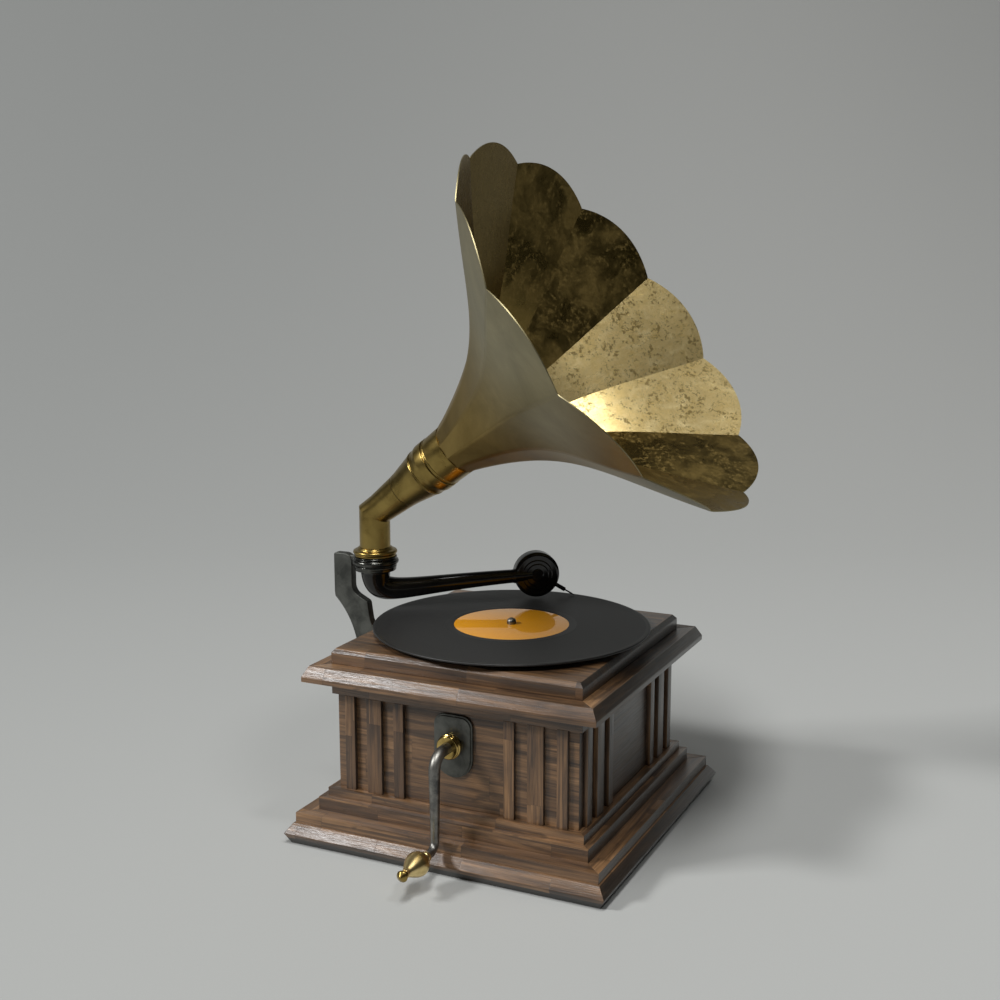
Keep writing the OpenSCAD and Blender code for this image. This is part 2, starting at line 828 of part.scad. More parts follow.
// The ferrule turns in the collar with the horn, and its spigot is the pivot
module horn_ferrule() {
    r = ferrule_r;
    bead = 2;
    inner = spigot_in;
    color(brass)
        translate([pivot_x, 0, ferrule_z])
            rotate_extrude()
                polygon(concat(
                    [[inner, -spigot_h], [spigot_r, -spigot_h], [spigot_r, 0],
                     [r - 1.6, 0], [r - 1.2, 0.5], [r - 1.2, 1.4], [r - 1.6, 1.8]],
                    arc([r - bead, 3.7], bead, -60, 90, 7),
                    [[r - 3.6, ferrule_h - 0.6], [r - 4, ferrule_h], [elbow_r + 2, ferrule_h]],
                    arc([elbow_r + 0.6, ferrule_h + 0.2], 1.2, 0, 90, 4),
                    [[elbow_r, ferrule_h + 1.4], [elbow_r, ferrule_h - tube_socket],
                     [inner, ferrule_h - tube_socket]]
                ));
}

// Turns the horn's own frame into place: z along the horn's axis
module in_horn_frame() {
    translate([pivot_x, 0, elbow_z]) rotate([0, 90 - horn_tilt, 0]) children();
}

// Everything on the far side of the elbow's mitre plane
module beyond_mitre(up) {
    size = 200;
    translate([pivot_x, 0, elbow_z])
        rotate([0, mitre, 0])
            translate([-size / 2, -size / 2, up ? 0 : -size]) cube(size);
}

module horn_elbow() {
    r = elbow_r;
    ri = elbow_r - sheet_t;
    low = ferrule_z + ferrule_h - tube_socket;
    straight = 8;
    wide = neck_d / 2 - 0.1;
    color(brass_dark)
        union() {
            intersection() {
                translate([pivot_x, 0, low])
                    difference() {
                        cylinder(r = r, h = elbow_z - low + 2 * r);
                        translate([0, 0, -cut]) cylinder(r = ri, h = elbow_z - low + 3 * r);
                    }
                beyond_mitre(false);
            }
            intersection() {
                in_horn_frame()
                    rotate_extrude()
                        polygon([
                            [ri, -2 * r], [r, -2 * r], [r, straight], [wide, neck_at],
                            [wide - sheet_t, neck_at], [ri, straight]
                        ]);
                beyond_mitre(true);
            }
        }
}

// Tapered sleeve with a double bead at its wide end
module horn_neck() {
    r0 = neck_d / 2;
    r1 = throat_d / 2;
    color(brass)
        in_horn_frame()
            rotate_extrude()
                polygon([
                    [r0 - sheet_t - 0.4, neck_at], [r0, neck_at], [r0 + 0.7, neck_at + 5.5],
                    [r1 - 0.4, throat_at - 3], [r1 + 0.2, throat_at - 2.4],
                    [r1 + 0.2, throat_at - 1.8], [r1 - 0.2, throat_at - 1.4],
                    [r1 + 0.4, throat_at - 0.9], [r1 + 0.4, throat_at],
                    [r1 - sheet_t - 0.8, throat_at]
                ]);
}

// Socket for the petals: a band that steps out, a deep groove, a bead, a plain round band and
// an inner spigot
module horn_throat() {
    r0 = throat_d / 2;
    r1 = bell_d0 / 2;
    inner = r1 * flat - sheet_t - 0.3;
    band_r = r1 - 0.4;
    groove_r = band_r - 1.6;
    bead = 0.8;
    half = 1;
    color(brass)
        in_horn_frame()
            rotate_extrude()
                polygon(concat(
                    [[r0 - sheet_t - 0.8, throat_at], [r0 + 0.1, throat_at],
                     [r0 + 0.5, throat_at + 3.5], [band_r, throat_at + 7.5],
                     [band_r + 0.1, groove_at - half - 0.4], [band_r - 0.3, groove_at - half],
                     [groove_r, groove_at - half], [groove_r, groove_at + half]],
                    arc([band_r - 0.7, groove_at + half + bead], bead, -90, 60, 6),
                    [[band_r - 0.2, groove_at + half + 2.2], [r1, bell_at],
                     [inner, bell_at], [inner, bell_at + 5], [inner - 1, bell_at + 5],
                     [inner - 1, groove_at - 4]]
                ));
}

// Flat-faced petal: a band that follows the flare, cut to its wedge and to its lobe.
// The band lies at the middle of the face, so its radius is the crease's times the flat ratio.
function flare_point(t) =
    let (p = cubic(flare_p0, flare_p1, flare_p2, flare_p3, t)) [p[1] * flat, p[0]];
function flare_normal(t) =
    let (d = cubic_dir(flare_p0, flare_p1, flare_p2, flare_p3, t)) unit([d[0], -d[1] * flat]);

module petal_band() {
    past = lobe_h * 1.6;
    slope = unit(flare_point(1) - flare_point(0.97));
    outer = [for (i = [0:flare_steps]) flare_point(i / flare_steps)];
    tip = flare_point(1) + slope * past;
    inner = [for (i = [0:flare_steps])
        flare_point(1 - i / flare_steps) - sheet_t * flare_normal(1 - i / flare_steps)];
    inner_tip = tip - sheet_t * flare_normal(1);
    polygon(concat(outer, [tip, inner_tip], inner));
}

// Lobe outline in the face's plane: the bell's length, then a bow between the crease ends
module petal_reach() {
    half = mouth_d / 2 * sin(petal_a / 2);
    bow_r = (half * half + lobe_h * lobe_h) / (2 * lobe_h);
    translate([-mouth_d / 2, 0]) square([mouth_d, bell_end]);
    intersection() {
        translate([0, bell_end + lobe_h - bow_r]) circle(r = bow_r, $fn = 128);
        translate([-mouth_d / 2, bell_end - cut]) square([mouth_d, 3 * lobe_h]);
    }
}

module horn_petal(number) {
    reach = mouth_d;
    spread = reach * tan(petal_a / 2);
    color(brass)
        in_horn_frame()
            rotate([0, 0, petal_a * (number - 1)])
                intersection() {
                    rotate([90, 0, 0])
                        linear_extrude(mouth_d / 2, center = true) petal_band();
                    linear_extrude(2 * bell_end)
                        polygon([[0, 0], [reach, -spread], [reach, spread]]);
                    rotate([90, 0, 90]) linear_extrude(reach) petal_reach();
                }
}

// Pipe swept along the tonearm's curve, tapering from the swivel to the tip
module swept_pipe(r0, r1, t0, t1) {
    rings = [for (i = [0:arm_rings]) t0 + (t1 - t0) * i / arm_rings];
    points = [
        for (t = rings)
            let (
                c = cubic(arm_p0, arm_p1, arm_p2, arm_p3, t),
                d = unit(cubic_dir(arm_p0, arm_p1, arm_p2, arm_p3, t)),
                r = r0 + (r1 - r0) * t
            )
            for (j = [0:arm_sides - 1])
                let (a = 360 * j / arm_sides)
                [c[0] - d[1] * r * cos(a), r * sin(a), c[1] + d[0] * r * cos(a)]
    ];
    last = arm_rings * arm_sides;
    sides = [
        for (i = [0:arm_rings - 1])
            for (j = [0:arm_sides - 1])
                let (
                    a = i * arm_sides + j,
                    b = i * arm_sides + (j + 1) % arm_sides
                )
                each [[a, b, b + arm_sides], [a, b + arm_sides, a + arm_sides]]
    ];
    caps = [
        [for (j = [0:arm_sides - 1]) arm_sides - 1 - j],
        [for (j = [0:arm_sides - 1]) last + j]
    ];
    polyhedron(points, concat(sides, caps));
}

module on_arm_line() {
    translate([pivot_x, 0, 0])
        rotate([0, 0, arm_swing])
            translate([arm_p3[0], 0, arm_p3[1]])
                rotate([0, -arm_rise, 0]) children();
}

module tonearm() {
    r0 = arm_d0 / 2;
    rim = 2;
    color(black)
        difference() {
            union() {
                translate([pivot_x, 0, 0])
                    rotate([0, 0, arm_swing]) swept_pipe(r0, arm_tip_r, 0, 1);
                translate([pivot_x, 0, arm_p0[1] - rim])
                    cylinder(r1 = r0, r2 = r0 + 1.4, h = rim);
                translate([pivot_x, 0, arm_p0[1] - rim])
                    cylinder(r = spigot_r, h = rim + move_gap + spigot_h);
                on_arm_line()
                    translate([-2, 0, 0])
                        rotate([0, 90, 0]) cylinder(r = tip_spigot_r, h = 2 + tip_spigot_l);
            }
            translate([pivot_x, 0, 0])
                rotate([0, 0, arm_swing])
                    swept_pipe(r0 - arm_wall - 3, tip_spigot_r - arm_wall, 0.03, 0.98);
            translate([pivot_x, 0, arm_p0[1] - 6])
                cylinder(r = spigot_in - 0.2, h = 20);
            on_arm_line()
                translate([-10, 0, 0])
                    rotate([0, 90, 0])
                        cylinder(r = tip_spigot_r - arm_wall, h = 16 + tip_spigot_l);
        }
}

// Puts its children in the soundbox's frame, with the disc's axis along y
module in_box_frame() {
    on_arm_line() translate([box_at, 0, 0]) children();
}

// Turned piece of the soundbox. Points are [radius, distance along y].
module box_turning(points) {
    rotate([-90, 0, 0]) rotate_extrude() polygon(points);
}

// Turns x to the needle's line, which leaves the disc's centre line downwards
module in_needle_line() {
    translate([0, lever_y, 0]) rotate([0, needle_a, 0]) children();
}

module needle_notch() {
    in_needle_line() rotate([0, 90, 0]) cylinder(r = notch_r, h = box_r + cut);
}

// Case of the soundbox: a stepped back and the socket that turns on the tonearm. A channel
// leads from the socket to the chamber behind the diaphragm.
module soundbox_case() {
    back = -box_back;
    socket_l = box_at - move_gap;
    channel_r = tip_spigot_r - arm_wall;
    color(black)
        in_box_frame()
            difference() {
                union() {
                    box_turning([
                        [0, back - 2.4], [5, back - 2.4], [6, back - 1.6], [10.4, back - 1.6],
                        [11, back - 1], [14, back - 1], [14.6, back - 0.4],
                        [box_r - 3, back - 0.4], [box_r - 1.6, back], [box_r, back + 1.4],
                        [box_r, ring_y], [0, ring_y]
                    ]);
                    difference() {
                        translate([-socket_l, 0, 0])
                            rotate([0, 90, 0])
                                cylinder(r1 = arm_tip_r, r2 = arm_tip_r - 0.6, h = socket_l - 4);
                        translate([0, ring_y, 0])
                            rotate([-90, 0, 0]) cylinder(r = box_r + run_gap, h = box_t);
                    }
                    translate([-4, 0, 0]) sphere(r = arm_tip_r - 0.6);
                }
                box_turning([
                    [0, seat_y - 0.8], [box_r - ring_w, seat_y - 0.8], [box_r - ring_w, seat_y],
                    [seat_r, seat_y], [seat_r, ring_y + cut], [0, ring_y + cut]
                ]);
                translate([-socket_l - cut, 0, 0])
                    rotate([0, 90, 0])
                        cylinder(r = tip_spigot_r + run_gap, h = tip_spigot_l + move_gap + cut);
                translate([-socket_l, 0, 0])
                    rotate([0, 90, 0]) cylinder(r = channel_r, h = socket_l);
                rotate([-90, 0, 0]) cylinder(r = channel_r, h = seat_y);
                needle_notch();
            }
}

module soundbox_ring() {
    front = ring_y + ring_t;
    color(iron)
        in_box_frame()
            difference() {
                box_turning([
                    [box_r - ring_w, ring_y], [box_r, ring_y], [box_r, front - 1],
                    [box_r - 1.2, front], [box_r - ring_w, front]
                ]);
                needle_notch();
            }
}

// Two flat gaskets that grip the diaphragm's edge
module soundbox_gaskets() {
    color("#6b4a3a")
        in_box_frame()
            for (y = [seat_y, seat_y + gasket_t + mica_t])
                box_turning([
                    [box_r - ring_w, y], [seat_r, y], [seat_r, y + gasket_t],
                    [box_r - ring_w, y + gasket_t]
                ]);
}

module diaphragm() {
    color("#c9c2a8")
        in_box_frame()
            translate([0, seat_y + gasket_t, 0])
                rotate([-90, 0, 0]) cylinder(r = seat_r, h = mica_t);
}

// Lever from the diaphragm's centre to the needle chuck at the rim
module stylus_bar() {
    foot_y = ring_y - gasket_t;
    color(steel)
        in_box_frame()
            union() {
                translate([0, foot_y, 0])
                    rotate([-90, 0, 0]) cylinder(r = 1.4, h = lever_y - foot_y);
                in_needle_line() translate([-1.5, -0.8, -1]) cube([chuck_start + 3, 1.6, 2]);
                in_needle_line()
                    difference() {
                        translate([chuck_start, 0, 0])
                            rotate([0, 90, 0])
                                cylinder(r = chuck_d / 2, h = chuck_end - chuck_start);
                        translate([chuck_end - chuck_hole_l, 0, 0])
                            rotate([0, 90, 0]) cylinder(r = needle_d / 2, h = chuck_hole_l + cut);
                        translate([chuck_end - screw_in, 0, 0])
                            rotate([-90, 0, 0]) cylinder(r = 0.8, h = chuck_d);
                    }
            }
}

// Small screw on the far side of the chuck, which grips the needle
module needle_screw() {
    color(steel)
        in_box_frame()
            in_needle_line()
                translate([chuck_end - screw_in, 0, 0])
                    rotate([-90, 0, 0]) {
                        translate([0, 0, needle_d / 2]) cylinder(r = 0.8, h = chuck_d / 2);
                        translate([0, 0, chuck_d / 2]) cylinder(r = 1.7, h = 2);
                    }
}

module needle() {
    point_l = 3;
    body = needle_reach - chuck_end + chuck_hole_l - point_l;
    color(steel)
        in_box_frame()
            in_needle_line()
                translate([chuck_end - chuck_hole_l, 0, 0])
                    rotate([0, 90, 0])
                        union() {
                            cylinder(r = needle_d / 2, h = body);
                            translate([0, 0, body])
                                cylinder(r1 = needle_d / 2, r2 = 0.15, h = point_l);
                        }
}

// Involute tooth: half its angle at radius r, for a gear of z teeth and module m
pressure = 25;
function inv(a) = tan(a) * 180 / PI - a;
function tooth_half(r, z, m) =
    let (base = m * z / 2 * cos(pressure))
    (90 - backlash / m * 90 / PI) / z + inv(pressure) - inv(acos(min(1, base / r)));
function gear_points(z, m) =
    let (p = m * z / 2, low = p - 1.2 * m, high = p + m * 0.95)
    [for (k = [0:z - 1])
        let (a = 360 * k / z)
        for (s = [[low, -1], [p, -1], [high, -1], [high, 1], [p, 1], [low, 1]])
            let (b = a + s[1] * tooth_half(s[0], z, m)) s[0] * [cos(b), sin(b)]];

// Spur gear with a tooth centred on the angle that is given
module spur_gear(z, m, w, at) {
    rotate([0, 0, at]) linear_extrude(w) polygon(gear_points(z, m));
}

// Angle that puts a gap, not a tooth, on the line to a mate at the given angle
function gap_at(z, at) = at + 180 / z;

// Bevel gear with its apex at the origin and its teeth around +z. Each outer profile point is
// set on the back cone, and the inner ring is the outer one drawn towards the apex.
module bevel_gear(z, mate) {
    m = bevel_m;
    r = m * z / 2;
    h = m * mate / 2;
    cone = norm([r, h]);
    tilt = atan2(r, h);
    virtual = z / cos(tilt);
    back = m * virtual / 2;
    keep = 1 - bevel_face / cone;
    low = back - 1.2 * m;
    high = back + m * 0.9;
    ring = [for (k = [0:z - 1])
        for (s = [[low, -1], [back, -1], [high, -1], [high, 1], [back, 1], [low, 1]])
            let (
                rr = r + (s[0] - back) * cos(tilt),
                hh = h - (s[0] - back) * sin(tilt),
                b = 360 * k / z + s[1] * tooth_half(s[0], virtual, m) * s[0] / rr
            )
            [rr * cos(b), rr * sin(b), hh]];
    n = len(ring);
    low_h = h + 1.2 * m * sin(tilt);
    points = concat(ring, [for (p = ring) p * keep], [[0, 0, low_h], [0, 0, low_h * keep]]);
    faces = [for (i = [0:n - 1])
        let (j = (i + 1) % n)
        each [[i, j, n + i], [j, n + j, n + i], [2 * n, j, i], [2 * n + 1, n + i, n + j]]];
    polyhedron(points, faces);
}

module motor_plate(z) {
    mid = [(motor_left + motor_right) / 2, (motor_front + motor_back) / 2];
    difference() {
        translate([mid[0], mid[1], z])
            linear_extrude(motor_plate_t)
                round_plate(motor_right - motor_left, motor_back - motor_front, 10);
        translate([0, 0, z - cut]) {
            cylinder(r = spindle_r + run_gap, h = motor_plate_t + 2 * cut);
            for (p = [[0, barrel_y], [second_x, second_y], [governor_x, governor_y]])
                translate(p) cylinder(r = arbor_r + run_gap, h = motor_plate_t + 2 * cut);
        }
    }
}

module motor_plate_top() {
    color(brass_dark) motor_plate(motor_top_z);
}

// The lower plate has an upright lug that carries the winding rod's inner end
module motor_plate_bottom() {
    lug_w = rod_d + 7;
    color(brass_dark)
        difference() {
            union() {
                motor_plate(motor_low_z);
                translate([-lug_w / 2, motor_front + 2, motor_low_z + cut])
                    cube([lug_w, 6, crank_z - motor_low_z + lug_w / 2 - cut]);
            }
            translate([0, motor_front + 2 + 6 + cut, crank_z])
                rotate([90, 0, 0]) cylinder(r = rod_r + run_gap, h = 6 + 2 * cut);
        }
}

module motor_pillars() {
    color(steel)
        for (x = [motor_left + pillar_in, motor_right - pillar_in])
            for (y = [motor_front + pillar_in, motor_back - pillar_in])
                translate([x, y, motor_low_z + motor_plate_t])
                    cylinder(r = pillar_r, h = motor_space - motor_plate_t);
}

module spring_barrel() {
    r = barrel_d / 2;
    wall = 1.6;
    hub = arbor_r + run_gap;
    mate_a = atan2(second_y - barrel_y, second_x);
    color(brass_dark)
        translate([0, barrel_y, 0])
            difference() {
                union() {
                    translate([0, 0, barrel_z]) cylinder(r = r, h = barrel_h);
                    translate([0, 0, barrel_gear_z])
                        spur_gear(barrel_teeth, gear_m, gear_w, mate_a);
                }
                translate([0, 0, barrel_z - cut]) cylinder(r = hub, h = barrel_h + gear_w + 2 * cut);
                translate([0, 0, barrel_z + wall])
                    difference() {
                        cylinder(r = r - wall, h = barrel_h - 2 * wall);
                        cylinder(r = hub + 3, h = barrel_h);
                    }
            }
}

module barrel_arbor() {
    low = motor_low_z + move_gap;
    top = motor_top_z + motor_plate_t - move_gap;
    color(steel)
        translate([0, barrel_y, 0])
            union() {
                translate([0, 0, low]) cylinder(r = arbor_r, h = top - low);
                translate([0, 0, crank_z])
                    rotate([0, 0, 90 + 180 / bevel_wheel_teeth])
                        bevel_gear(bevel_wheel_teeth, bevel_pinion_teeth);
            }
}

module second_arbor() {
    low = motor_low_z + move_gap;
    top = motor_top_z + motor_plate_t - move_gap;
    to_spindle = atan2(-second_y, -second_x);
    to_barrel = atan2(barrel_y - second_y, -second_x);
    color(brass_dark)
        translate([second_x, second_y, 0])
            union() {
                translate([0, 0, low]) cylinder(r = arbor_r, h = top - low);
                translate([0, 0, second_wheel_z])
                    spur_gear(second_teeth, gear_m, gear_w, gap_at(second_teeth, to_spindle));
                translate([0, 0, barrel_gear_z - 1])
                    spur_gear(pinion_teeth, gear_m, gear_w + 2, gap_at(pinion_teeth, to_barrel));
            }
}

// Centrifugal governor: three weights on leaf springs between two hubs, and a friction disc
module governor() {
    low = motor_low_z + move_gap;
    top = motor_top_z + motor_plate_t - move_gap;
    hub_low = governor_gear_z + gear_w + 8;
    span = 26;
    weight_r = 4;
    weight_at = 8.4;
    lean = atan2(weight_at - 4, span / 2);
    leaf_l = norm([weight_at - 4, span / 2]);
    color(brass)
        translate([governor_x, governor_y, 0])
            union() {
                translate([0, 0, low]) cylinder(r = arbor_r, h = top - low);
                translate([0, 0, governor_gear_z - 1])
                    spur_gear(pinion_teeth, fine_m, gear_w + 2,
                              gap_at(pinion_teeth, governor_a + 180));
                for (z = [hub_low, hub_low + span])
                    translate([0, 0, z - 2]) cylinder(r = 5.4, h = 4);
                translate([0, 0, hub_low + span + 2]) cylinder(r = 9, h = 1.6);
                for (k = [0:2])
                    rotate([0, 0, 120 * k]) {
                        translate([weight_at, 0, hub_low + span / 2]) sphere(r = weight_r);
                        for (s = [-1, 1])
                            translate([4, 0, hub_low + span / 2 + s * span / 2])
                                rotate([0, s > 0 ? 180 - lean : lean, 0])
                                    translate([-0.4, -2, 0]) cube([0.8, 4, leaf_l]);
                    }
            }
}

bottom_board();
base_moulding(0);  // base_moulding_front
base_moulding(1);  // base_moulding_right
base_moulding(2);  // base_moulding_back
base_moulding(3);  // base_moulding_left
front_panel();
right_panel();
back_panel();
left_panel();
battens();
neck_moulding();
lid_moulding(0);  // lid_moulding_front
lid_moulding(1);  // lid_moulding_right
lid_moulding(2);  // lid_moulding_back
lid_moulding(3);  // lid_moulding_left
motor_board();
escutcheon();
crank_bush();
winding_crank();
crank_handle();
handle_cap();
platter();
felt_mat();
record();
record_label();
spindle();
bracket();
bracket_screws();
swivel_collar();
horn_ferrule();
horn_elbow();
horn_neck();
horn_throat();
horn_petal(1);  // horn_petal_1
horn_petal(2);  // horn_petal_2
horn_petal(3);  // horn_petal_3
horn_petal(4);  // horn_petal_4
horn_petal(5);  // horn_petal_5
horn_petal(6);  // horn_petal_6
horn_petal(7);  // horn_petal_7
horn_petal(8);  // horn_petal_8
horn_petal(9);  // horn_petal_9
horn_petal(10);  // horn_petal_10
horn_petal(11);  // horn_petal_11
horn_petal(12);  // horn_petal_12
tonearm();
soundbox_case();
soundbox_ring();
soundbox_gaskets();
diaphragm();
stylus_bar();
needle_screw();
needle();
motor_plate_top();
motor_plate_bottom();
motor_pillars();
spring_barrel();
barrel_arbor();
second_arbor();
governor();
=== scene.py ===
# %% [markdown]
# # A table gramophone with a brass horn
# The model is a wind-up gramophone: a square walnut cabinet with a spring motor inside, a record on
# a turntable, a black tonearm with its soundbox, and a horn of twelve brass petals on a bracket.
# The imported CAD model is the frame. Every piece below is made in metres where the CAD has it, and
# rides on the CAD body that carries it, so all the joints keep working.

# %% Load the frame
from math import cos, pi, radians, sin, tan
import bpy
import bmesh
from mathutils import Matrix, Vector


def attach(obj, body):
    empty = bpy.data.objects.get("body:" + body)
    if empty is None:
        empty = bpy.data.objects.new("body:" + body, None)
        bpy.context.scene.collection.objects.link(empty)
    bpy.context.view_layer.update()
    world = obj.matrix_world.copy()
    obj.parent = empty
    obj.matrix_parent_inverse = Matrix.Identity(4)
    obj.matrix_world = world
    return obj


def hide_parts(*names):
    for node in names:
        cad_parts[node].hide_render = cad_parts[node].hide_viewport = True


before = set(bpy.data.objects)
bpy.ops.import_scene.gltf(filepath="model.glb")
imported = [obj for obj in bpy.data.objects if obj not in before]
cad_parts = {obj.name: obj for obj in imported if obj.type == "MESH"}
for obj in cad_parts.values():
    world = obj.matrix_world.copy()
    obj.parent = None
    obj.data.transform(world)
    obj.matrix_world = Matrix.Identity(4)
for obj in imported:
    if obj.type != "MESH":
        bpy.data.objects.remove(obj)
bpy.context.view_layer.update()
MM = 0.001

# %% [markdown]
# ## The sizes
# The pieces share a few sizes. They are the CAD's own, in millimetres, with angles in degrees.

# %% Sizes of the gramophone
BODY_HALF = 113.5        # body face from the middle
RECORD_TOP = 179.3
RECORD_R = 125.0
LABEL_R = 52.0
SPINDLE_R = 4.2
CRANK_Z = 104.0
HANDLE_Z = 23.5
ARM_Y = -149.5           # plane of the crank arm
PIVOT_X = -141.3         # upright axis of horn and tonearm
COLLAR_Z = 215.5
FERRULE_Z = 229.3
ELBOW = Vector((PIVOT_X, 0, 269.5)) * MM     # corner of the elbow, in metres
HORN_TURN = 52.6         # horn's axis from upright, in degrees
SHEET = 0.9              # sheet brass
ARM_SWING = 35.4         # tonearm's rest angle about the pivot

# %% [markdown]
# ## Helpers for meshes
# Most of the metal on a gramophone is turned on a lathe, so one helper turns an outline about an
# axis, and another rounds the outline's corners, as a lathe hand breaks every sharp one. The wood
# is planed and sanded: its helper cleans the CAD solid's mesh and softens the outer edges, so that
# they catch the light.

# %% Turned and planed meshes
def rounded(outline, cut, steps=3):
    """The outline of (radius, height) points with each inner corner cut back and rounded."""
    points = [Vector(p) for p in outline]
    soft = [points[0]]
    for before, corner, after in zip(points, points[1:], points[2:]):
        to_before, to_after = before - corner, after - corner
        reach = min(cut, 0.4 * to_before.length, 0.4 * to_after.length)
        start = corner + to_before.normalized() * reach
        end = corner + to_after.normalized() * reach
        for i in range(steps + 1):
            t = i / steps
            soft.append(start * (1 - t) ** 2 + corner * 2 * t * (1 - t) + end * t * t)
    soft.append(points[-1])
    return [(p.x, p.y) for p in soft]


def around_axis(around):
    """The angles of a ring's corners."""
    return [2 * pi * i / around for i in range(around)]


def bridge(shape, low, high):
    """Faces between two rings, of which one may be a single corner on the axis."""
    around = max(len(low), len(high))
    for i in range(around):
        j = (i + 1) % around
        corners = [low[i % len(low)], low[j % len(low)], high[j % len(high)], high[i % len(high)]]
        kept = list(dict.fromkeys(corners))
        if len(kept) > 2:
            shape.faces.new(kept)


def turned(outline, place=None, around=96):
    """A lathe mesh about z. An outline that stays off the axis closes on itself as a ring."""
    shape = bmesh.new()
    rings = []
    for radius, height in outline:
        turns = [0.0] if radius < 1e-4 else around_axis(around)
        rings.append([
            shape.verts.new((radius * cos(a) * MM, radius * sin(a) * MM, height * MM))
            for a in turns
        ])
    pairs = list(zip(rings, rings[1:]))
    if len(rings[0]) > 1 and len(rings[-1]) > 1:
        pairs.append((rings[-1], rings[0]))
    for low, high in pairs:
        bridge(shape, low, high)
    if place:
        shape.transform(place)
    return shape


def cleaned(node):
    """The CAD mesh of a node, merged, with its flat faces in one piece each."""
    shape = bmesh.new()
    shape.from_mesh(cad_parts[node].data)
    bmesh.ops.remove_doubles(shape, verts=shape.verts, dist=0.002 * MM)
    bmesh.ops.dissolve_limit(shape, angle_limit=radians(0.6), verts=shape.verts, edges=shape.edges)
    return shape


def eased(shape, width, least=3.0, turn=20, steps=2):
    """Rounds the long outer edges of a mesh, as sandpaper does."""
    edges = [
        e for e in shape.edges
        if len(e.link_faces) == 2 and e.is_convex
        and e.calc_length() > least * MM and e.calc_face_angle() > radians(turn)
    ]
    bmesh.ops.bevel(
        shape, geom=edges, offset=width * MM, segments=steps, profile=0.6,
        affect="EDGES", clamp_overlap=True
    )
    return shape


def as_mesh(name, *shapes):
    """One mesh from several closed shells, with their normals outwards."""
    whole = bmesh.new()
    mesh = bpy.data.meshes.new(name)
    for shape in shapes:
        bmesh.ops.recalc_face_normals(shape, faces=shape.faces)
        shape.to_mesh(mesh)
        shape.free()
        whole.from_mesh(mesh)
    whole.to_mesh(mesh)
    whole.free()
    return mesh


def new_object(name, data):
    made = bpy.data.objects.new(name, data)
    bpy.context.scene.collection.objects.link(made)
    return made


def add_piece(name, mesh, finish, body, slot, node=None, smooth=35):
    """Puts a finished mesh on its body, in the place of a CAD node, or else of its namesake."""
    piece = new_object(name.replace(" ", "-"), mesh)
    mesh.materials.clear()
    mesh.materials.append(finish)
    mesh.shade_smooth()
    mesh.set_sharp_from_angle(angle=radians(smooth))
    node = name.replace(" ", "_") if node is None else node
    if node:
        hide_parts(node)
    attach(piece, body)


def turned_piece(name, outline, place, finish, body, slot, node=None, around=96):
    """A piece with one outline, straight from the lathe."""
    add_piece(name, as_mesh(name, turned(outline, place, around)), finish, body, slot, node)


def eased_piece(node, finish, width, slot="walnut", **how):
    """A CAD solid of the cabinet's body with its outer edges eased."""
    mesh = as_mesh(node, eased(cleaned(node), width, **how))
    add_piece(node.replace("_", " "), mesh, finish, "cabinet", slot)


def rotated(degrees, axis):
    return Matrix.Rotation(radians(degrees), 4, axis)


def upright(x=0.0, y=0.0, z=0.0):
    """A place on an upright axis, in millimetres."""
    return Matrix.Translation(Vector((x, y, z)) * MM)


def forward(y, z):
    """A place on an axis that points out of the front face."""
    return upright(0, y, z) @ rotated(90, "X")


print("mesh helpers ready")

# %% [markdown]
# ## Helpers for node trees
# Finishes and Geometry Nodes trees are both sums of sockets. A small class lets a socket be added
# and multiplied like a number. Another helper adds a node to either kind of tree and returns one
# of its outputs as such a socket.

# %% Sockets that behave like numbers
def plug(tree, value, socket):
    """Links a wire to a socket, or sets the socket's own value."""
    if isinstance(value, Wire):
        tree.links.new(value.socket, socket)
    else:
        socket.default_value = value


def step(tree, kind, output=0, settings=None, values=(), **inputs):
    """Adds a node, sets its inputs in order or by name, and returns one output."""
    made = tree.nodes.new(kind)
    for key, value in (settings or {}).items():
        setattr(made, key, value)
    for socket, value in zip(made.inputs, values):
        plug(tree, value, socket)
    for key, value in inputs.items():
        plug(tree, value, made.inputs[key.replace("_", " ")])
    return Wire(tree, made.outputs[output])


def sum_of(operation):
    return lambda wire, *others: wire.math(operation, *others)


class Wire:
    """An output socket that can be used in sums."""

    def __init__(self, tree, socket):
        self.tree = tree
        self.socket = socket

    def math(self, operation, *others):
        return step(self.tree, "ShaderNodeMath", 0, {"operation": operation}, (self, *others))

    __add__ = __radd__ = sum_of("ADD")
    __sub__ = sum_of("SUBTRACT")
    __mul__ = __rmul__ = sum_of("MULTIPLY")
    __truediv__ = sum_of("DIVIDE")
    floor = sum_of("FLOOR")
    fract = sum_of("FRACT")
    absolute = sum_of("ABSOLUTE")
    at_least = sum_of("MAXIMUM")
    at_most = sum_of("MINIMUM")
    root = sum_of("SQRT")

    def __rsub__(self, other):
        return (self * -1.0) + other

    def between(self, low, high):
        """0 below low, 1 above high, and a smooth step between them."""
        return step(
            self.tree, "ShaderNodeMapRange", "Result", {"interpolation_type": "SMOOTHSTEP"},
            Value=self, From_Min=low, From_Max=high
        )


def vector_of(tree, x, y, z):
    return step(tree, "ShaderNodeCombineXYZ", values=(x, y, z))


def parts_of(wire):
    """The x, y and z of a vector."""
    first = step(wire.tree, "ShaderNodeSeparateXYZ", values=(wire,))
    return [Wire(wire.tree, output) for output in first.socket.node.outputs]


print("node helpers ready")

# %% [markdown]
# ## Helpers for finishes
# Every finish starts from one shader whose fixed values are set on its own sockets. Textures are
# laid in Object coordinates, which are the frame's own metres, so grain and wear keep their real
# size on every piece.

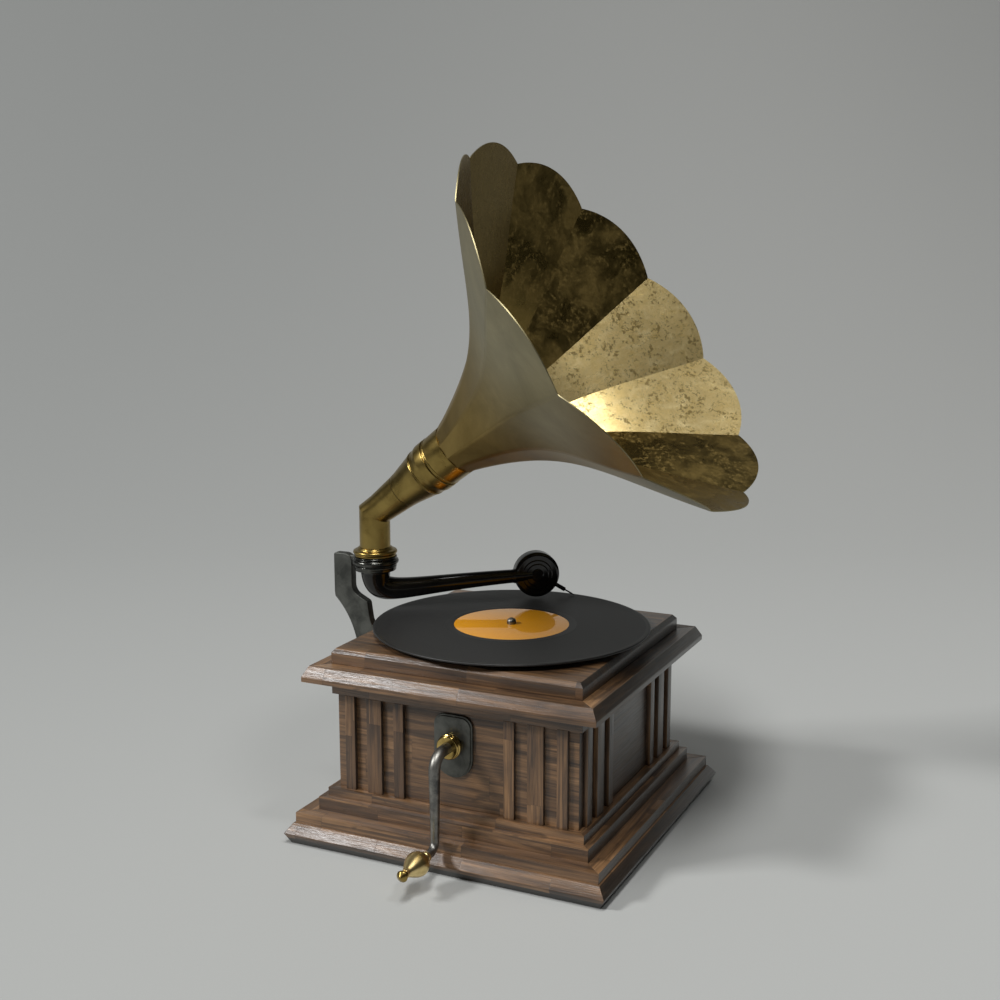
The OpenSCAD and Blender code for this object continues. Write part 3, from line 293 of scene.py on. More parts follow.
# %% A finish and its textures
def shade(red, green, blue):
    """A colour given as eight-bit screen values, in the linear form that shaders take."""
    def linear(value):
        v = value / 255
        return v / 12.92 if v <= 0.04045 else ((v + 0.055) / 1.055) ** 2.4
    return (linear(red), linear(green), linear(blue), 1.0)


class Finish:
    """A material with one shader, and short calls for what feeds it."""

    def __init__(self, name, **fixed):
        self.material = bpy.data.materials.new(name)
        self.material.use_nodes = True
        self.tree = self.material.node_tree
        self.feed(**fixed)

    def feed(self, **sockets):
        shader = self.tree.nodes["Principled BSDF"]
        for key, value in sockets.items():
            plug(self.tree, value, shader.inputs[key.replace("_", " ")])

    def node(self, kind, *rest, **inputs):
        return step(self.tree, "ShaderNode" + kind, *rest, **inputs)

    def place(self):
        return self.node("TexCoord", "Object")

    def scaled(self, where, x, y, z):
        return self.node("Mapping", Vector=where, Scale=(x, y, z))

    def moved(self, where, x, y, z):
        shift = vector_of(self.tree, x, y, z)
        return self.node("VectorMath", values=(where, shift))

    def noise(self, where, scale, detail=4.0, rough=0.55, twist=0.0):
        return self.node(
            "TexNoise", "Fac",
            Vector=where, Scale=scale, Detail=detail, Roughness=rough, Distortion=twist
        )

    def chance(self, x, y, z):
        """A random number from 0 to 1 for each place."""
        where = vector_of(self.tree, x, y, z)
        return self.node("TexWhiteNoise", "Value", Vector=where)

    def ramp(self, value, *stops):
        """A colour that goes through stops of (position, (red, green, blue))."""
        made = self.node("ValToRGB", values=(value,))
        band = made.socket.node.color_ramp
        while len(band.elements) < len(stops):
            band.elements.new(0.5)
        for element, (position, colour) in zip(band.elements, stops):
            element.position = position
            element.color = shade(*colour)
        return made

    def mixed(self, amount, first, second, how="MIX"):
        made = self.node("Mix", 2, {"data_type": "RGBA", "blend_type": how})
        for i, value in ((0, amount), (6, first), (7, second)):
            plug(self.tree, value, made.socket.node.inputs[i])
        return made

    def bump(self, height, strength, depth):
        """A normal from a height. depth is in metres."""
        return self.node("Bump", Strength=strength, Distance=depth, Height=height)


print("finish helpers ready")

# %% [markdown]
# ## The walnut
# The cabinet is made of oiled walnut, glued up from short staves. The grain runs along each
# moulding, across each panel and up each batten. A stave is found from the place across the grain,
# and it gets a random tone, a random shift of its grain and a thin dark line where it meets the
# next. The pores are fine grooves along the grain, which break up the glints on the bevels. Shade
# is painted into the colour: the faces turned to the right are painted darker, and the lowest few
# millimetres of the plinth are painted black as the shade under its undercut foot.

# %% Walnut along an axis
GRAIN_TURN = {"X": (0, 0, 0), "Y": (0, 0, radians(-90)), "Z": (0, radians(90), 0)}
COURSE_SHIFT, LAYER_SHIFT = 0.0031, 0.0043       # so that no glue line runs along an edge
STAVE_LENGTH, STAVE_SPREAD = 0.075, 0.07
# Painted shade: below these heights, in metres, the plinth's undercut foot is painted black.
PAINTED_FOOT_SHADE = 0.0052, 0.0062                            # height of the black edge of the plinth
# The first colour here is painted shade, used on faces turned to the right and on the plinth's foot.
PAINTED_SHADE_BROWN, PORE_BROWN, GLUE_BROWN = shade(22, 20, 17), shade(50, 37, 28), shade(38, 27, 20)
TIMBER = (
    (0.32, (54, 39, 27)), (0.44, (104, 77, 52)), (0.55, (164, 124, 84)), (0.70, (216, 172, 126))
)


def walnut(axis, stave=0.021, tone=1.0):
    wood = Finish("walnut along " + axis, Coat_Weight=0.8, Coat_Roughness=0.27)
    where = wood.node("Mapping", Vector=wood.place(), Rotation=GRAIN_TURN[axis])
    along, across, up = parts_of(where)

    courses = [(across + COURSE_SHIFT) / stave, (up + LAYER_SHIFT) / stave]
    row = courses[0].floor() + courses[1].floor() * 7.0
    row_chance = wood.chance(row, 3.0, 1.0)
    lengthwise = along / (STAVE_LENGTH + STAVE_SPREAD * row_chance) + row_chance * 9.0
    block_chance = wood.chance(row, lengthwise.floor(), 5.0)
    joint = (lengthwise.fract() - 0.5).absolute().between(0.493, 0.5)
    for course in courses:
        joint = joint.at_least((course.fract() - 0.5).absolute().between(0.485, 0.5))

    local = wood.moved(where, block_chance * 3.0, row_chance * 2.0, block_chance)
    figure = wood.noise(wood.scaled(local, 6, 150, 150), 1.0, 8.0, 0.66, 0.9)
    pores = wood.noise(wood.scaled(local, 26, 900, 900), 1.0, 3.0, 0.6)
    cloud = wood.noise(wood.scaled(local, 10, 28, 28), 1.0, 3.0, 0.5, 1.4)
    knot = wood.noise(wood.scaled(local, 17, 30, 30), 1.0, 1.0, 0.4, 3.0).between(0.68, 0.78)

    stops = [(position, [value * tone for value in colour]) for position, colour in TIMBER]
    timber = wood.ramp(figure * 0.75 + cloud * 0.25, *stops)
    stave_tint = wood.ramp(block_chance, (0.0, (196, 190, 184)), (1.0, (254, 252, 248)))
    toned = wood.mixed(1.0, timber, stave_tint, "MULTIPLY")
    seamed = wood.mixed((joint * 0.3).at_least(knot * 0.6), toned, GLUE_BROWN)
    dull = pores.between(0.36, 0.60)
    colour = wood.mixed(dull * 0.5, wood.mixed(0.45, seamed, PORE_BROWN), seamed)
    # Painted shade: faces turned to the right get a darker colour, as they get little light.
    painted_right_shade = parts_of(wood.node("TexCoord", "Normal"))[0].between(0.15, 0.6)
    # Painted shade: the plinth's lowest few millimetres are painted black, as the shade under it.
    painted_foot_shade = 1.0 - parts_of(wood.place())[2].between(*PAINTED_FOOT_SHADE)
    colour = wood.mixed((painted_right_shade * 0.8).at_least(painted_foot_shade * 0.95), colour, PAINTED_SHADE_BROWN)

    height = pores + figure * 0.5 - joint * 0.12
    wood.feed(
        Base_Color=colour, Roughness=0.33 + 0.16 * figure + 0.10 * dull,
        Normal=wood.bump(height, 0.55, 0.00035), Coat_Normal=wood.bump(height, 0.8, 0.0004),
    )
    return wood.material


walnut_x = walnut("X")
walnut_y = walnut("Y")
walnut_z = walnut("Z", stave=0.017, tone=1.02)
board_walnut = walnut("X", stave=0.026, tone=0.97)
print("walnut for three directions of the grain")

# %% [markdown]
# ## The cabinet
# The plinth and the lid are mitred mouldings, and a flat moulding lies under the lid. Each length
# is its CAD solid with the outer edges eased by up to half a millimetre, which leaves a small
# valley at each mitre, as on a real cabinet.

# %% Planed mouldings, panels and the motor board
for side, wood in (("front", walnut_x), ("right", walnut_y), ("back", walnut_x), ("left", walnut_y)):
    eased_piece("base_moulding_" + side, wood, 0.5)
    eased_piece("lid_moulding_" + side, wood, 0.5)
    eased_piece(side + "_panel", wood, 0.3)
eased_piece("neck_moulding", walnut_x, 0.4)
eased_piece("motor_board", board_walnut, 0.5)

# %% [markdown]
# ## The battens
# Three upright battens stand near each end of each face: a broad one between two narrow ones. It
# is one shape repeated, so Geometry Nodes sets a block with eased edges on the three places and
# turns the group round the cabinet. The CAD has them as one node.

# %% Battens by Geometry Nodes
KINDS = {int: "Int", float: "Float", Vector: "Vector"}


class Recipe:
    """A Geometry Nodes tree with named inputs of (name, value), or (name, kind) without one."""

    def __init__(self, name, *sizes):
        self.tree = bpy.data.node_groups.new(name, "GeometryNodeTree")
        face = self.tree.interface
        face.new_socket("Geometry", in_out="OUTPUT", socket_type="NodeSocketGeometry")
        for label, value in (*sizes, ("Finish", "Material")):
            kind = value if isinstance(value, str) else KINDS[type(value)]
            socket = face.new_socket(label, in_out="INPUT", socket_type="NodeSocket" + kind)
            if kind != value:
                socket.default_value = value
        entry = self.tree.nodes.new("NodeGroupInput")
        self.given = {out.name: Wire(self.tree, out) for out in entry.outputs if out.name}

    def __getitem__(self, label):
        return self.given[label]

    def step(self, kind, *rest, **inputs):
        return step(self.tree, "GeometryNode" + kind, *rest, **inputs)

    def vector(self, x, y, z):
        return vector_of(self.tree, x, y, z)

    def joined(self, wires):
        whole = self.step("JoinGeometry")
        for wire in wires:
            self.tree.links.new(wire.socket, whole.socket.node.inputs[0])
        return whole

    def finish(self, geometry):
        """Ends the tree as a plain mesh with its material."""
        real = self.step("RealizeInstances", Geometry=geometry)
        painted = self.step("SetMaterial", Geometry=real, Material=self["Finish"])
        self.tree.links.new(painted.socket, self.tree.nodes.new("NodeGroupOutput").inputs[0])

    def grown(self, name, start=None, **values):
        """The plain mesh that the tree makes with these input values."""
        holder = new_object(name, start or bpy.data.meshes.new(name))
        modifier = holder.modifiers.new("grow", "NODES")
        modifier.node_group = self.tree
        for item in self.tree.interface.items_tree:
            label = item.name.replace(" ", "_")
            if item.in_out == "INPUT" and label in values:
                modifier[item.identifier] = values[label]
        bpy.context.view_layer.update()
        graph = bpy.context.evaluated_depsgraph_get()
        mesh = bpy.data.meshes.new_from_object(holder.evaluated_get(graph), depsgraph=graph)
        bpy.data.objects.remove(holder)
        shape = bmesh.new()
        shape.from_mesh(mesh)
        bmesh.ops.remove_doubles(shape, verts=shape.verts, dist=0.001 * MM)
        bmesh.ops.recalc_face_normals(shape, faces=shape.faces)
        shape.to_mesh(mesh)
        shape.free()
        return mesh


BATTEN_H, BATTEN_T = 85.3, 4.0


def batten_block(width):
    """One batten as a closed mesh about the origin, with its back against y = 0."""
    shape = bmesh.new()
    bmesh.ops.create_cube(shape, size=1.0)
    size = Matrix.Diagonal((width * MM, BATTEN_T * MM, BATTEN_H * MM, 1))
    shape.transform(Matrix.Translation((0, -BATTEN_T / 2 * MM, 0)) @ size)
    return new_object("batten " + str(width), as_mesh("batten", eased(shape, 0.45)))


narrow, broad = batten_block(9.6), batten_block(14.6)
sides = Recipe(
    "Battens on four sides",
    ("Narrow batten", "Object"),
    ("Broad batten", "Object"),
    ("Body half", BODY_HALF * MM),
    ("Batten middle height", 89.45 * MM),
    ("Outer batten from corner", 13.5 * MM),
    ("Pitch", 24 * MM),
)
body_half, pitch = sides["Body half"], sides["Pitch"]
outer = body_half - sides["Outer batten from corner"]
rows = []
for source, count, first in (("Narrow batten", 2, 0.0), ("Broad batten", 1, 1.0)):
    start = sides.vector(outer - pitch * first, body_half * -1.0, sides["Batten middle height"])
    line = sides.step(
        "MeshLine", Count=count, Start_Location=start, Offset=sides.vector(pitch * -2.0, 0.0, 0.0)
    )
    block = sides.step("ObjectInfo", "Geometry", Object=sides[source])
    rows.append(sides.step("InstanceOnPoints", Points=line, Instance=block))
group = sides.joined(rows)
groups = []
for turn in range(4):
    for across in (0.0, (outer - pitch) * -2.0):
        moved = sides.step("Transform", Geometry=group, Translation=sides.vector(across, 0.0, 0.0))
        groups.append(sides.step("Transform", Geometry=moved, Rotation=(0, 0, radians(90 * turn))))
sides.finish(sides.joined(groups))
batten_mesh = sides.grown("battens", Narrow_batten=narrow, Broad_batten=broad, Finish=walnut_z)
add_piece("battens", batten_mesh, walnut_z, "cabinet", "walnut")
for block in (narrow, broad):
    bpy.data.objects.remove(block)

# %% [markdown]
# ## Metals
# Six metals show besides the horn's sheet brass. The handle's turned brass is kept pale and bright
# by the hand, the crank's bush is polished brass, the neck of the horn is olive brass under old
# lacquer, the collar is dark polished steel, the rod is worn steel, and the bracket and the
# escutcheon are dark cast iron. A slow noise moves the tint and, with a finer one, the roughness.
# In most other materials one noise sets both colour and height.

# %% Turned brass, steel and cast iron
def metal(name, dark, light, rough, spread, patch=60.0, grain=420.0, dent=0.00001):
    made = Finish(name, Metallic=1.0)
    where = made.place()
    slow = made.noise(where, patch, 5.0, 0.6, 0.4)
    fine = made.noise(where, grain, 3.0, 0.5)
    made.feed(
        Base_Color=made.ramp(slow, (0.32, dark), (0.62, light)),
        Roughness=rough + spread * slow + spread * 0.5 * fine,
        Normal=made.bump(fine * 0.4 + slow, 0.25, dent),
    )
    return made.material


def mottled(name, noise, dark, light, strength, depth, **fixed):
    """A finish whose colour and height follow one noise."""
    made = Finish(name, **fixed)
    mottle = made.noise(made.place(), *noise)
    made.feed(
        Base_Color=made.ramp(mottle, dark, light), Normal=made.bump(mottle, strength, depth)
    )
    return made.material


polished_brass = metal("polished brass", (150, 124, 68), (204, 176, 108), 0.1, 0.1)
handle_brass = metal("handle brass", (196, 170, 108), (240, 216, 156), 0.22, 0.12)
lacquered_brass = metal("lacquered brass", (124, 104, 56), (160, 137, 78), 0.2, 0.12, patch=38)
collar_steel = metal("dark polished steel", (44, 45, 43), (92, 92, 88), 0.14, 0.12)
worn_steel = metal("worn steel", (84, 84, 84), (150, 148, 142), 0.24, 0.24, 90, dent=0.00004)
cast_iron = metal("cast iron", (78, 79, 76), (114, 115, 110), 0.38, 0.2, grain=900, dent=0.00012)
gear_brass = metal("machined brass", (140, 112, 58), (190, 160, 92), 0.28, 0.15, dent=0.00004)
print("metals ready")

# %% [markdown]
# ## The crank
# The winding rod comes out through a brass bush in an iron escutcheon, bends down, tapers a little
# and turns out again into the pin of the handle. It is one round bar, so a Geometry Nodes tree
# fillets the corners of a path and runs a circle along it. The bevel pinion at its inner end is
# kept from the CAD mesh.

# %% Escutcheon and bush
eased_piece("escutcheon", cast_iron, 0.4, "cast_iron", least=0.6, turn=40)
BUSH_Y, BUSH_L = -101.5, 25.6
bush_outline = rounded([
    (4.95, 0), (8.5, 0), (8.5, BUSH_L - 5.6), (10.0, BUSH_L - 5.6), (10.8, BUSH_L - 4.8),
    (10.8, BUSH_L - 3.2), (9.6, BUSH_L - 2.6), (9.6, BUSH_L - 2.2), (10.3, BUSH_L - 1.6),
    (10.3, BUSH_L - 0.8), (9.4, BUSH_L), (4.95, BUSH_L)
], 0.4)
turned_piece("crank bush", bush_outline, forward(BUSH_Y, CRANK_Z), polished_brass, "cabinet", "brass")
print("bush length, mm:", BUSH_L)

# %% Winding rod by Geometry Nodes
rod = Recipe(
    "Bar along a bent path",
    ("Path", "Geometry"),
    ("Sides", 40),
    ("Steps in a bend", 14),
)
line = rod.step("MeshToCurve", Mesh=rod["Path"])
bend = rod.step("InputNamedAttribute", Name="bend")
thick = rod.step("InputNamedAttribute", Name="thick")
curve = rod.step(
    "FilletCurve", 0, {"mode": "POLY"}, Curve=line,
    Radius=bend, Limit_Radius=False, Count=rod["Steps in a bend"]
)
curve = rod.step("SetCurveRadius", Curve=curve, Radius=thick)
circle = rod.step("CurvePrimitiveCircle", Resolution=rod["Sides"], Radius=1.0)
rod.finish(rod.step("CurveToMesh", Curve=curve, Profile_Curve=circle, Scale=thick, Fill_Caps=True))


def path_mesh(points):
    """A line of (y, z, thickness, bend) points in the plane x = 0, for the bar's tree."""
    mesh = bpy.data.meshes.new("path")
    mesh.from_pydata(
        [(0, y * MM, z * MM) for y, z, _, _ in points],
        [(i, i + 1) for i in range(len(points) - 1)], []
    )
    for label, column in (("thick", 2), ("bend", 3)):
        values = mesh.attributes.new(label, "FLOAT", "POINT")
        values.data.foreach_set("value", [p[column] * MM for p in points])
    return mesh


ROD_R, PIN_R = 4.9, 2.2
SHOULDER_Y, PIN_END_Y = -164.2, -205.5
rod_path = path_mesh([
    (-68.8, CRANK_Z, ROD_R, 0), (ARM_Y, CRANK_Z, ROD_R, 13), (ARM_Y, 88.0, 4.85, 0),
    (ARM_Y, 60.0, 4.2, 0), (ARM_Y, 36.0, 3.7, 0), (ARM_Y, HANDLE_Z, 3.6, 9),
    (SHOULDER_Y, HANDLE_Z, 3.6, 0), (SHOULDER_Y, HANDLE_Z, PIN_R, 0), (PIN_END_Y, HANDLE_Z, PIN_R, 0)
])
rod_mesh = rod.grown("winding rod", rod_path, Finish=worn_steel)
PINION_Y = -69.5         # the CAD mesh is kept on the inside of this plane
pinion = cleaned("winding_crank")
cut = bmesh.ops.bisect_plane(
    pinion, geom=[*pinion.verts, *pinion.edges, *pinion.faces],
    plane_co=(0, PINION_Y * MM, 0), plane_no=(0, -1, 0), clear_outer=True
)
rim = [e for e in cut["geom_cut"] if isinstance(e, bmesh.types.BMEdge)]
bmesh.ops.contextual_create(pinion, geom=rim)
add_piece("winding rod", rod_mesh, worn_steel, "crank", "steel", "winding_crank")
add_piece("bevel pinion", as_mesh("bevel pinion", pinion), worn_steel, "crank", "steel", "")

# %% [markdown]
# ## The handle
# The handle is a turned brass bulb that spins on the crank's pin: a small collar, a bulb that
# swells fast and then tapers in a long cone, and a loose cap that holds it on the pin.

# %% Handle and cap
def cubic(p0, p1, p2, p3, steps):
    """Points of a cubic curve, without its first one."""
    points = [Vector(p) for p in (p0, p1, p2, p3)]
    out = []
    for i in range(1, steps + 1):
        t = i / steps
        weights = ((1 - t) ** 3, 3 * t * (1 - t) ** 2, 3 * t * t * (1 - t), t ** 3)
        out.append(tuple(sum((w * p for w, p in zip(weights, points)), Vector((0, 0)))))
    return out


handle_outline = [
    (2.25, 0), (4.5, 0.1), (4.8, 0.5), (4.8, 3.4), (4.5, 3.8), (4.1, 4.2), (4.1, 4.8),
    *cubic((4.1, 4.8), (6.8, 6.5), (10.5, 11.5), (10.5, 16), 14),
    *cubic((10.5, 16), (10.5, 20), (6.3, 27), (3.7, 33.4), 14),
    (3.7, 35.8), (3.5, 36), (2.25, 36)
]
HANDLE_Y, CAP_Y = -164.5, -200.8
handle_place, cap_place = forward(HANDLE_Y, HANDLE_Z), forward(CAP_Y, HANDLE_Z)
turned_piece("crank handle", handle_outline, handle_place, handle_brass, "handle", "brass")
cap_outline = [
    (0, 0), *rounded([(3, 0), (3.4, 1.4), (4.4, 3), (5, 4), (4.5, 5), (1, 8)], 0.5), (0, 8)
]
turned_piece("handle cap", cap_outline, cap_place, lacquered_brass, "crank", "brass", around=64)
print("points of the outlines:", len(handle_outline), "and", len(cap_outline))

# %% [markdown]
# ## The turntable
# A shellac record lies on a felt mat on a thin steel platter. The shellac has a satin sheen, and
# its spiral groove is far too fine to be seen as lines, so a faint ripple around the axis turns
# the sheen instead. Smooth bands mark the run-in and the run-out. The orange label is glazed paper
# and mirrors the tonearm.

# %% Shellac, label and felt
shellac = Finish("shellac", Specular_IOR_Level=0.5, IOR=1.5)
x, y, _ = parts_of(shellac.place())
radius = (x * x + y * y).root()
ripple = shellac.noise(vector_of(shellac.tree, radius * 2600.0, 0.0, 0.0), 1.0, 2.0, 0.6)
played = radius.between(0.0585, 0.0595) * (1.0 - radius.between(0.1205, 0.1215))
dust = shellac.noise(shellac.place(), 240.0, 4.0, 0.6)
shellac.feed(
    Base_Color=shellac.ramp(dust, (0.3, (28, 28, 28)), (0.8, (44, 44, 43))),
    Roughness=0.47 + 0.08 * dust - 0.05 * (1.0 - played),
    Normal=shellac.bump(ripple * played, 0.35, 0.00003),
)

label_paint = mottled(
    "glazed orange label", (500.0, 5.0, 0.6), (0.3, (248, 166, 2)), (0.7, (254, 174, 4)),
    0.06, 0.00002, Roughness=0.5, Coat_Weight=1.0, Coat_Roughness=0.03
)
felt = mottled(
    "felt", (1400.0, 4.0, 0.7), (0.3, (30, 38, 31)), (0.7, (54, 66, 55)),
    0.6, 0.0003, Roughness=0.95, Sheen_Weight=0.4
)
print("turntable finishes ready")

# %% Platter, felt, record, label and spindle
PLATTER_LOW, PLATTER_TOP, FELT_TOP = 173.4, 176.3, 177.3
LABEL_LOW, LABEL_TOP = 179.0, 179.28
platter_outline = rounded([
    (SPINDLE_R, PLATTER_LOW), (12, PLATTER_LOW), (12, 174.7), (111, 174.7), (111, PLATTER_LOW),
    (113, PLATTER_LOW), (113, 175.7), (112.4, PLATTER_TOP), (SPINDLE_R, PLATTER_TOP)
], 0.3)
felt_outline = rounded([
    (SPINDLE_R, PLATTER_TOP), (112, PLATTER_TOP), (112, FELT_TOP), (SPINDLE_R, FELT_TOP)
], 0.3)
record_outline = rounded([
    (SPINDLE_R, FELT_TOP), (RECORD_R - 0.5, FELT_TOP), (RECORD_R, 177.9), (RECORD_R, 178.7),
    (RECORD_R - 0.5, RECORD_TOP), (121.4, RECORD_TOP), (120.8, 179.2), (60, 179.2),
    (59, RECORD_TOP), (LABEL_R, RECORD_TOP), (LABEL_R, LABEL_LOW), (SPINDLE_R, LABEL_LOW)
], 0.25)
label_outline = rounded([
    (SPINDLE_R, LABEL_LOW), (LABEL_R - 0.05, LABEL_LOW), (LABEL_R - 0.05, LABEL_TOP),
    (9, LABEL_TOP), (SPINDLE_R, LABEL_TOP)
], 0.08)
for name, outline, finish, slot in (
    ("platter", platter_outline, worn_steel, "steel"),
    ("felt mat", felt_outline, felt, "felt"),
    ("record", record_outline, shellac.material, "shellac"),
    ("record label", label_outline, label_paint, "label"),
):
    turned_piece(name, outline, None, finish, "turntable", slot, around=192)
print("record, label, felt and platter are on the turntable")

# %% [markdown]
# ## The horn
# The horn is twelve flat-faced gores of thin sheet brass, soldered edge to edge. Along each crease
# the flare is one cubic curve, and each gore ends in a lobe whose edge is an arc through its crease
# ends. That is a rule, so one Geometry Nodes tree makes a gore from its sizes: a flat grid is laid
# along the flare, narrowed to its wedge, and given an inner and an outer skin. The solder has
# rounded the outside of the creases, so the outer skin drops a little near them, while the inside
# stays crisp. The tree is grown twelve times, once for each CAD petal.

# %% Petal by Geometry Nodes
BELL_AT, BELL_L = 108.0, 183.9
ROOT_R, MOUTH_R = 25.2, 183.15


def flare_handle(distance, radius, reach, degrees):
    a = radians(degrees)
    return Vector((distance + reach * cos(a), radius + reach * sin(a), 0)) * MM


flare = [
    Vector((BELL_AT, ROOT_R, 0)) * MM,
    flare_handle(BELL_AT, ROOT_R, BELL_L * 0.598, 20.5),
    flare_handle(BELL_AT + BELL_L, MOUTH_R, -BELL_L * 0.617, 49.6),
    Vector((BELL_AT + BELL_L, MOUTH_R, 0)) * MM,
]
petal = Recipe(
    "Petal of the horn",
    ("Number", 1),
    ("Half wedge", radians(15)),
    ("Flare root", flare[0]),
    ("Flare root handle", flare[1]),
    ("Flare mouth handle", flare[2]),
    ("Flare mouth", flare[3]),
    ("Lobe", 10.4 * MM),
    ("Sheet", SHEET * MM),
    ("Crease rounding", 12 * MM),
    ("Trim", 0.996),
    ("Elbow corner", ELBOW),
    ("Horn turn", radians(HORN_TURN)),
)
number, wedge, *flare_sockets, lobe_reach, sheet, crease, trim, corner, lean, _ = (
    petal.given.values()
)
points = [parts_of(socket) for socket in flare_sockets]
sine, cosine, tangent = [wedge.math(kind) for kind in ("SINE", "COSINE", "TANGENT")]
grid = petal.step("MeshGrid", Size_X=2.0, Size_Y=1.0, Vertices_X=49, Vertices_Y=97)
across, along, _ = parts_of(petal.step("InputPosition"))
along = (along + 0.5) * trim

# Half the chord of the mouth, and the width of the strip that the solder rounds
mouth_half = points[3][1] * sine
side = across.absolute()
rounding = (crease * tangent).at_most(points[0][1] * sine * 0.6)


def spread(half_width):
    """Distance across the face: half the grid's columns lie in the rounded strip."""
    inner = (side * 2.0).at_most(1.0) * (half_width - rounding)
    return inner + (side * 2.0 - 1.0).at_least(0.0) * rounding


at_mouth = spread(mouth_half)
bow = (mouth_half * mouth_half + lobe_reach * lobe_reach) / (lobe_reach * 2.0)
lobe = (bow * bow - at_mouth * at_mouth).at_least(0.0).root() - bow + lobe_reach
end_speed = [(points[3][i] - points[2][i]) * 3.0 for i in (0, 1)]
travel = along * (1.0 + lobe.at_least(0.0) / end_speed[0])
inside = travel.at_most(1.0)
past = (travel - 1.0).at_least(0.0)
rest = 1.0 - inside


def on_flare(i):
    p0, p1, p2, p3 = (p[i] for p in points)
    blend = rest * rest * rest * p0 + inside * rest * rest * 3.0 * p1
    return blend + inside * inside * rest * 3.0 * p2 + inside * inside * inside * p3


def flare_speed(i):
    p0, p1, p2, p3 = (p[i] for p in points)
    blend = rest * rest * (p1 - p0) + inside * rest * 2.0 * (p2 - p1)
    return blend + inside * inside * (p3 - p2)


distance = on_flare(0) + past * end_speed[0]
apothem = (on_flare(1) + past * end_speed[1]) * cosine
half_width = spread(on_flare(1) * sine)
run, rise = flare_speed(0), flare_speed(1) * cosine
length = (run * run + rise * rise).root()
run, rise = run / length, rise / length
from_crease = on_flare(1) * sine - half_width
drop = (rounding - from_crease).at_least(0.0)
drop = drop * drop / (crease * 2.0) * along.between(0.0, 0.05)
sign = across.math("SIGN")


def skin_at(depth):
    """The places of a skin at a depth below the flat face."""
    x = apothem - run * depth
    return petal.vector(x, half_width * (x / apothem) * sign, distance + rise * depth)


outer_skin, inner_skin = skin_at(drop), skin_at(sheet)

# Laid-out place on the gore, for its finish: across, along and number
marked = petal.step(
    "StoreNamedAttribute", 0, {"data_type": "FLOAT_VECTOR", "domain": "POINT"},
    Geometry=grid, Name="laid", Value=petal.vector(half_width * sign, travel, number)
)
pushed = petal.step("ExtrudeMesh", Mesh=marked, Offset_Scale=0.0, Individual=False)
top = Wire(petal.tree, pushed.socket.node.outputs["Top"])
opposite = step(petal.tree, "FunctionNodeBooleanMath", 0, {"operation": "NOT"}, Boolean=top)
lined = petal.step(
    "StoreNamedAttribute", 0, {"data_type": "FLOAT", "domain": "FACE"},
    Geometry=pushed, Name="inner", Value=top
)
for selection, skin in ((top, inner_skin), (opposite, outer_skin)):
    lined = petal.step("SetPosition", Geometry=lined, Selection=selection, Position=skin)
outside = petal.step("FlipFaces", Mesh=marked)
outside = petal.step("SetPosition", Geometry=outside, Position=outer_skin)
turned_petal = petal.step(
    "Transform", Geometry=petal.joined([outside, lined]),
    Rotation=petal.vector(0.0, 0.0, (number - 1.0) * wedge * 2.0)
)
petal.finish(petal.step(
    "Transform", Geometry=turned_petal, Translation=corner, Rotation=petal.vector(0.0, lean, 0.0)
))
print("petal tree:", len(petal.tree.nodes), "nodes")

# %% [markdown]
# ## Brass of the horn
# The two sides of the sheet have aged differently. The outside is lacquered, golden at the throat
# and greyer towards the mouth. The inside is bare, and its patina shifts from gore to gore. The
# third and fourth gores were kept bright: they have fine dark flecks, soft stains and strokes of
# the polishing cloth. On the others the metal has gone dark and smooth, and a paler, rough bloom
# lies on it in patches. From the seventh gore on there is hardly any bloom.

# %% Horn brass
FIRST_BRIGHT, LAST_BRIGHT, FIRST_WORN = 3, 4, 7      # numbers of gores


def from_gore(number, gore):
    """1 from this gore on, and 0 before it."""
    return number.between(gore - 0.6, gore - 0.4)


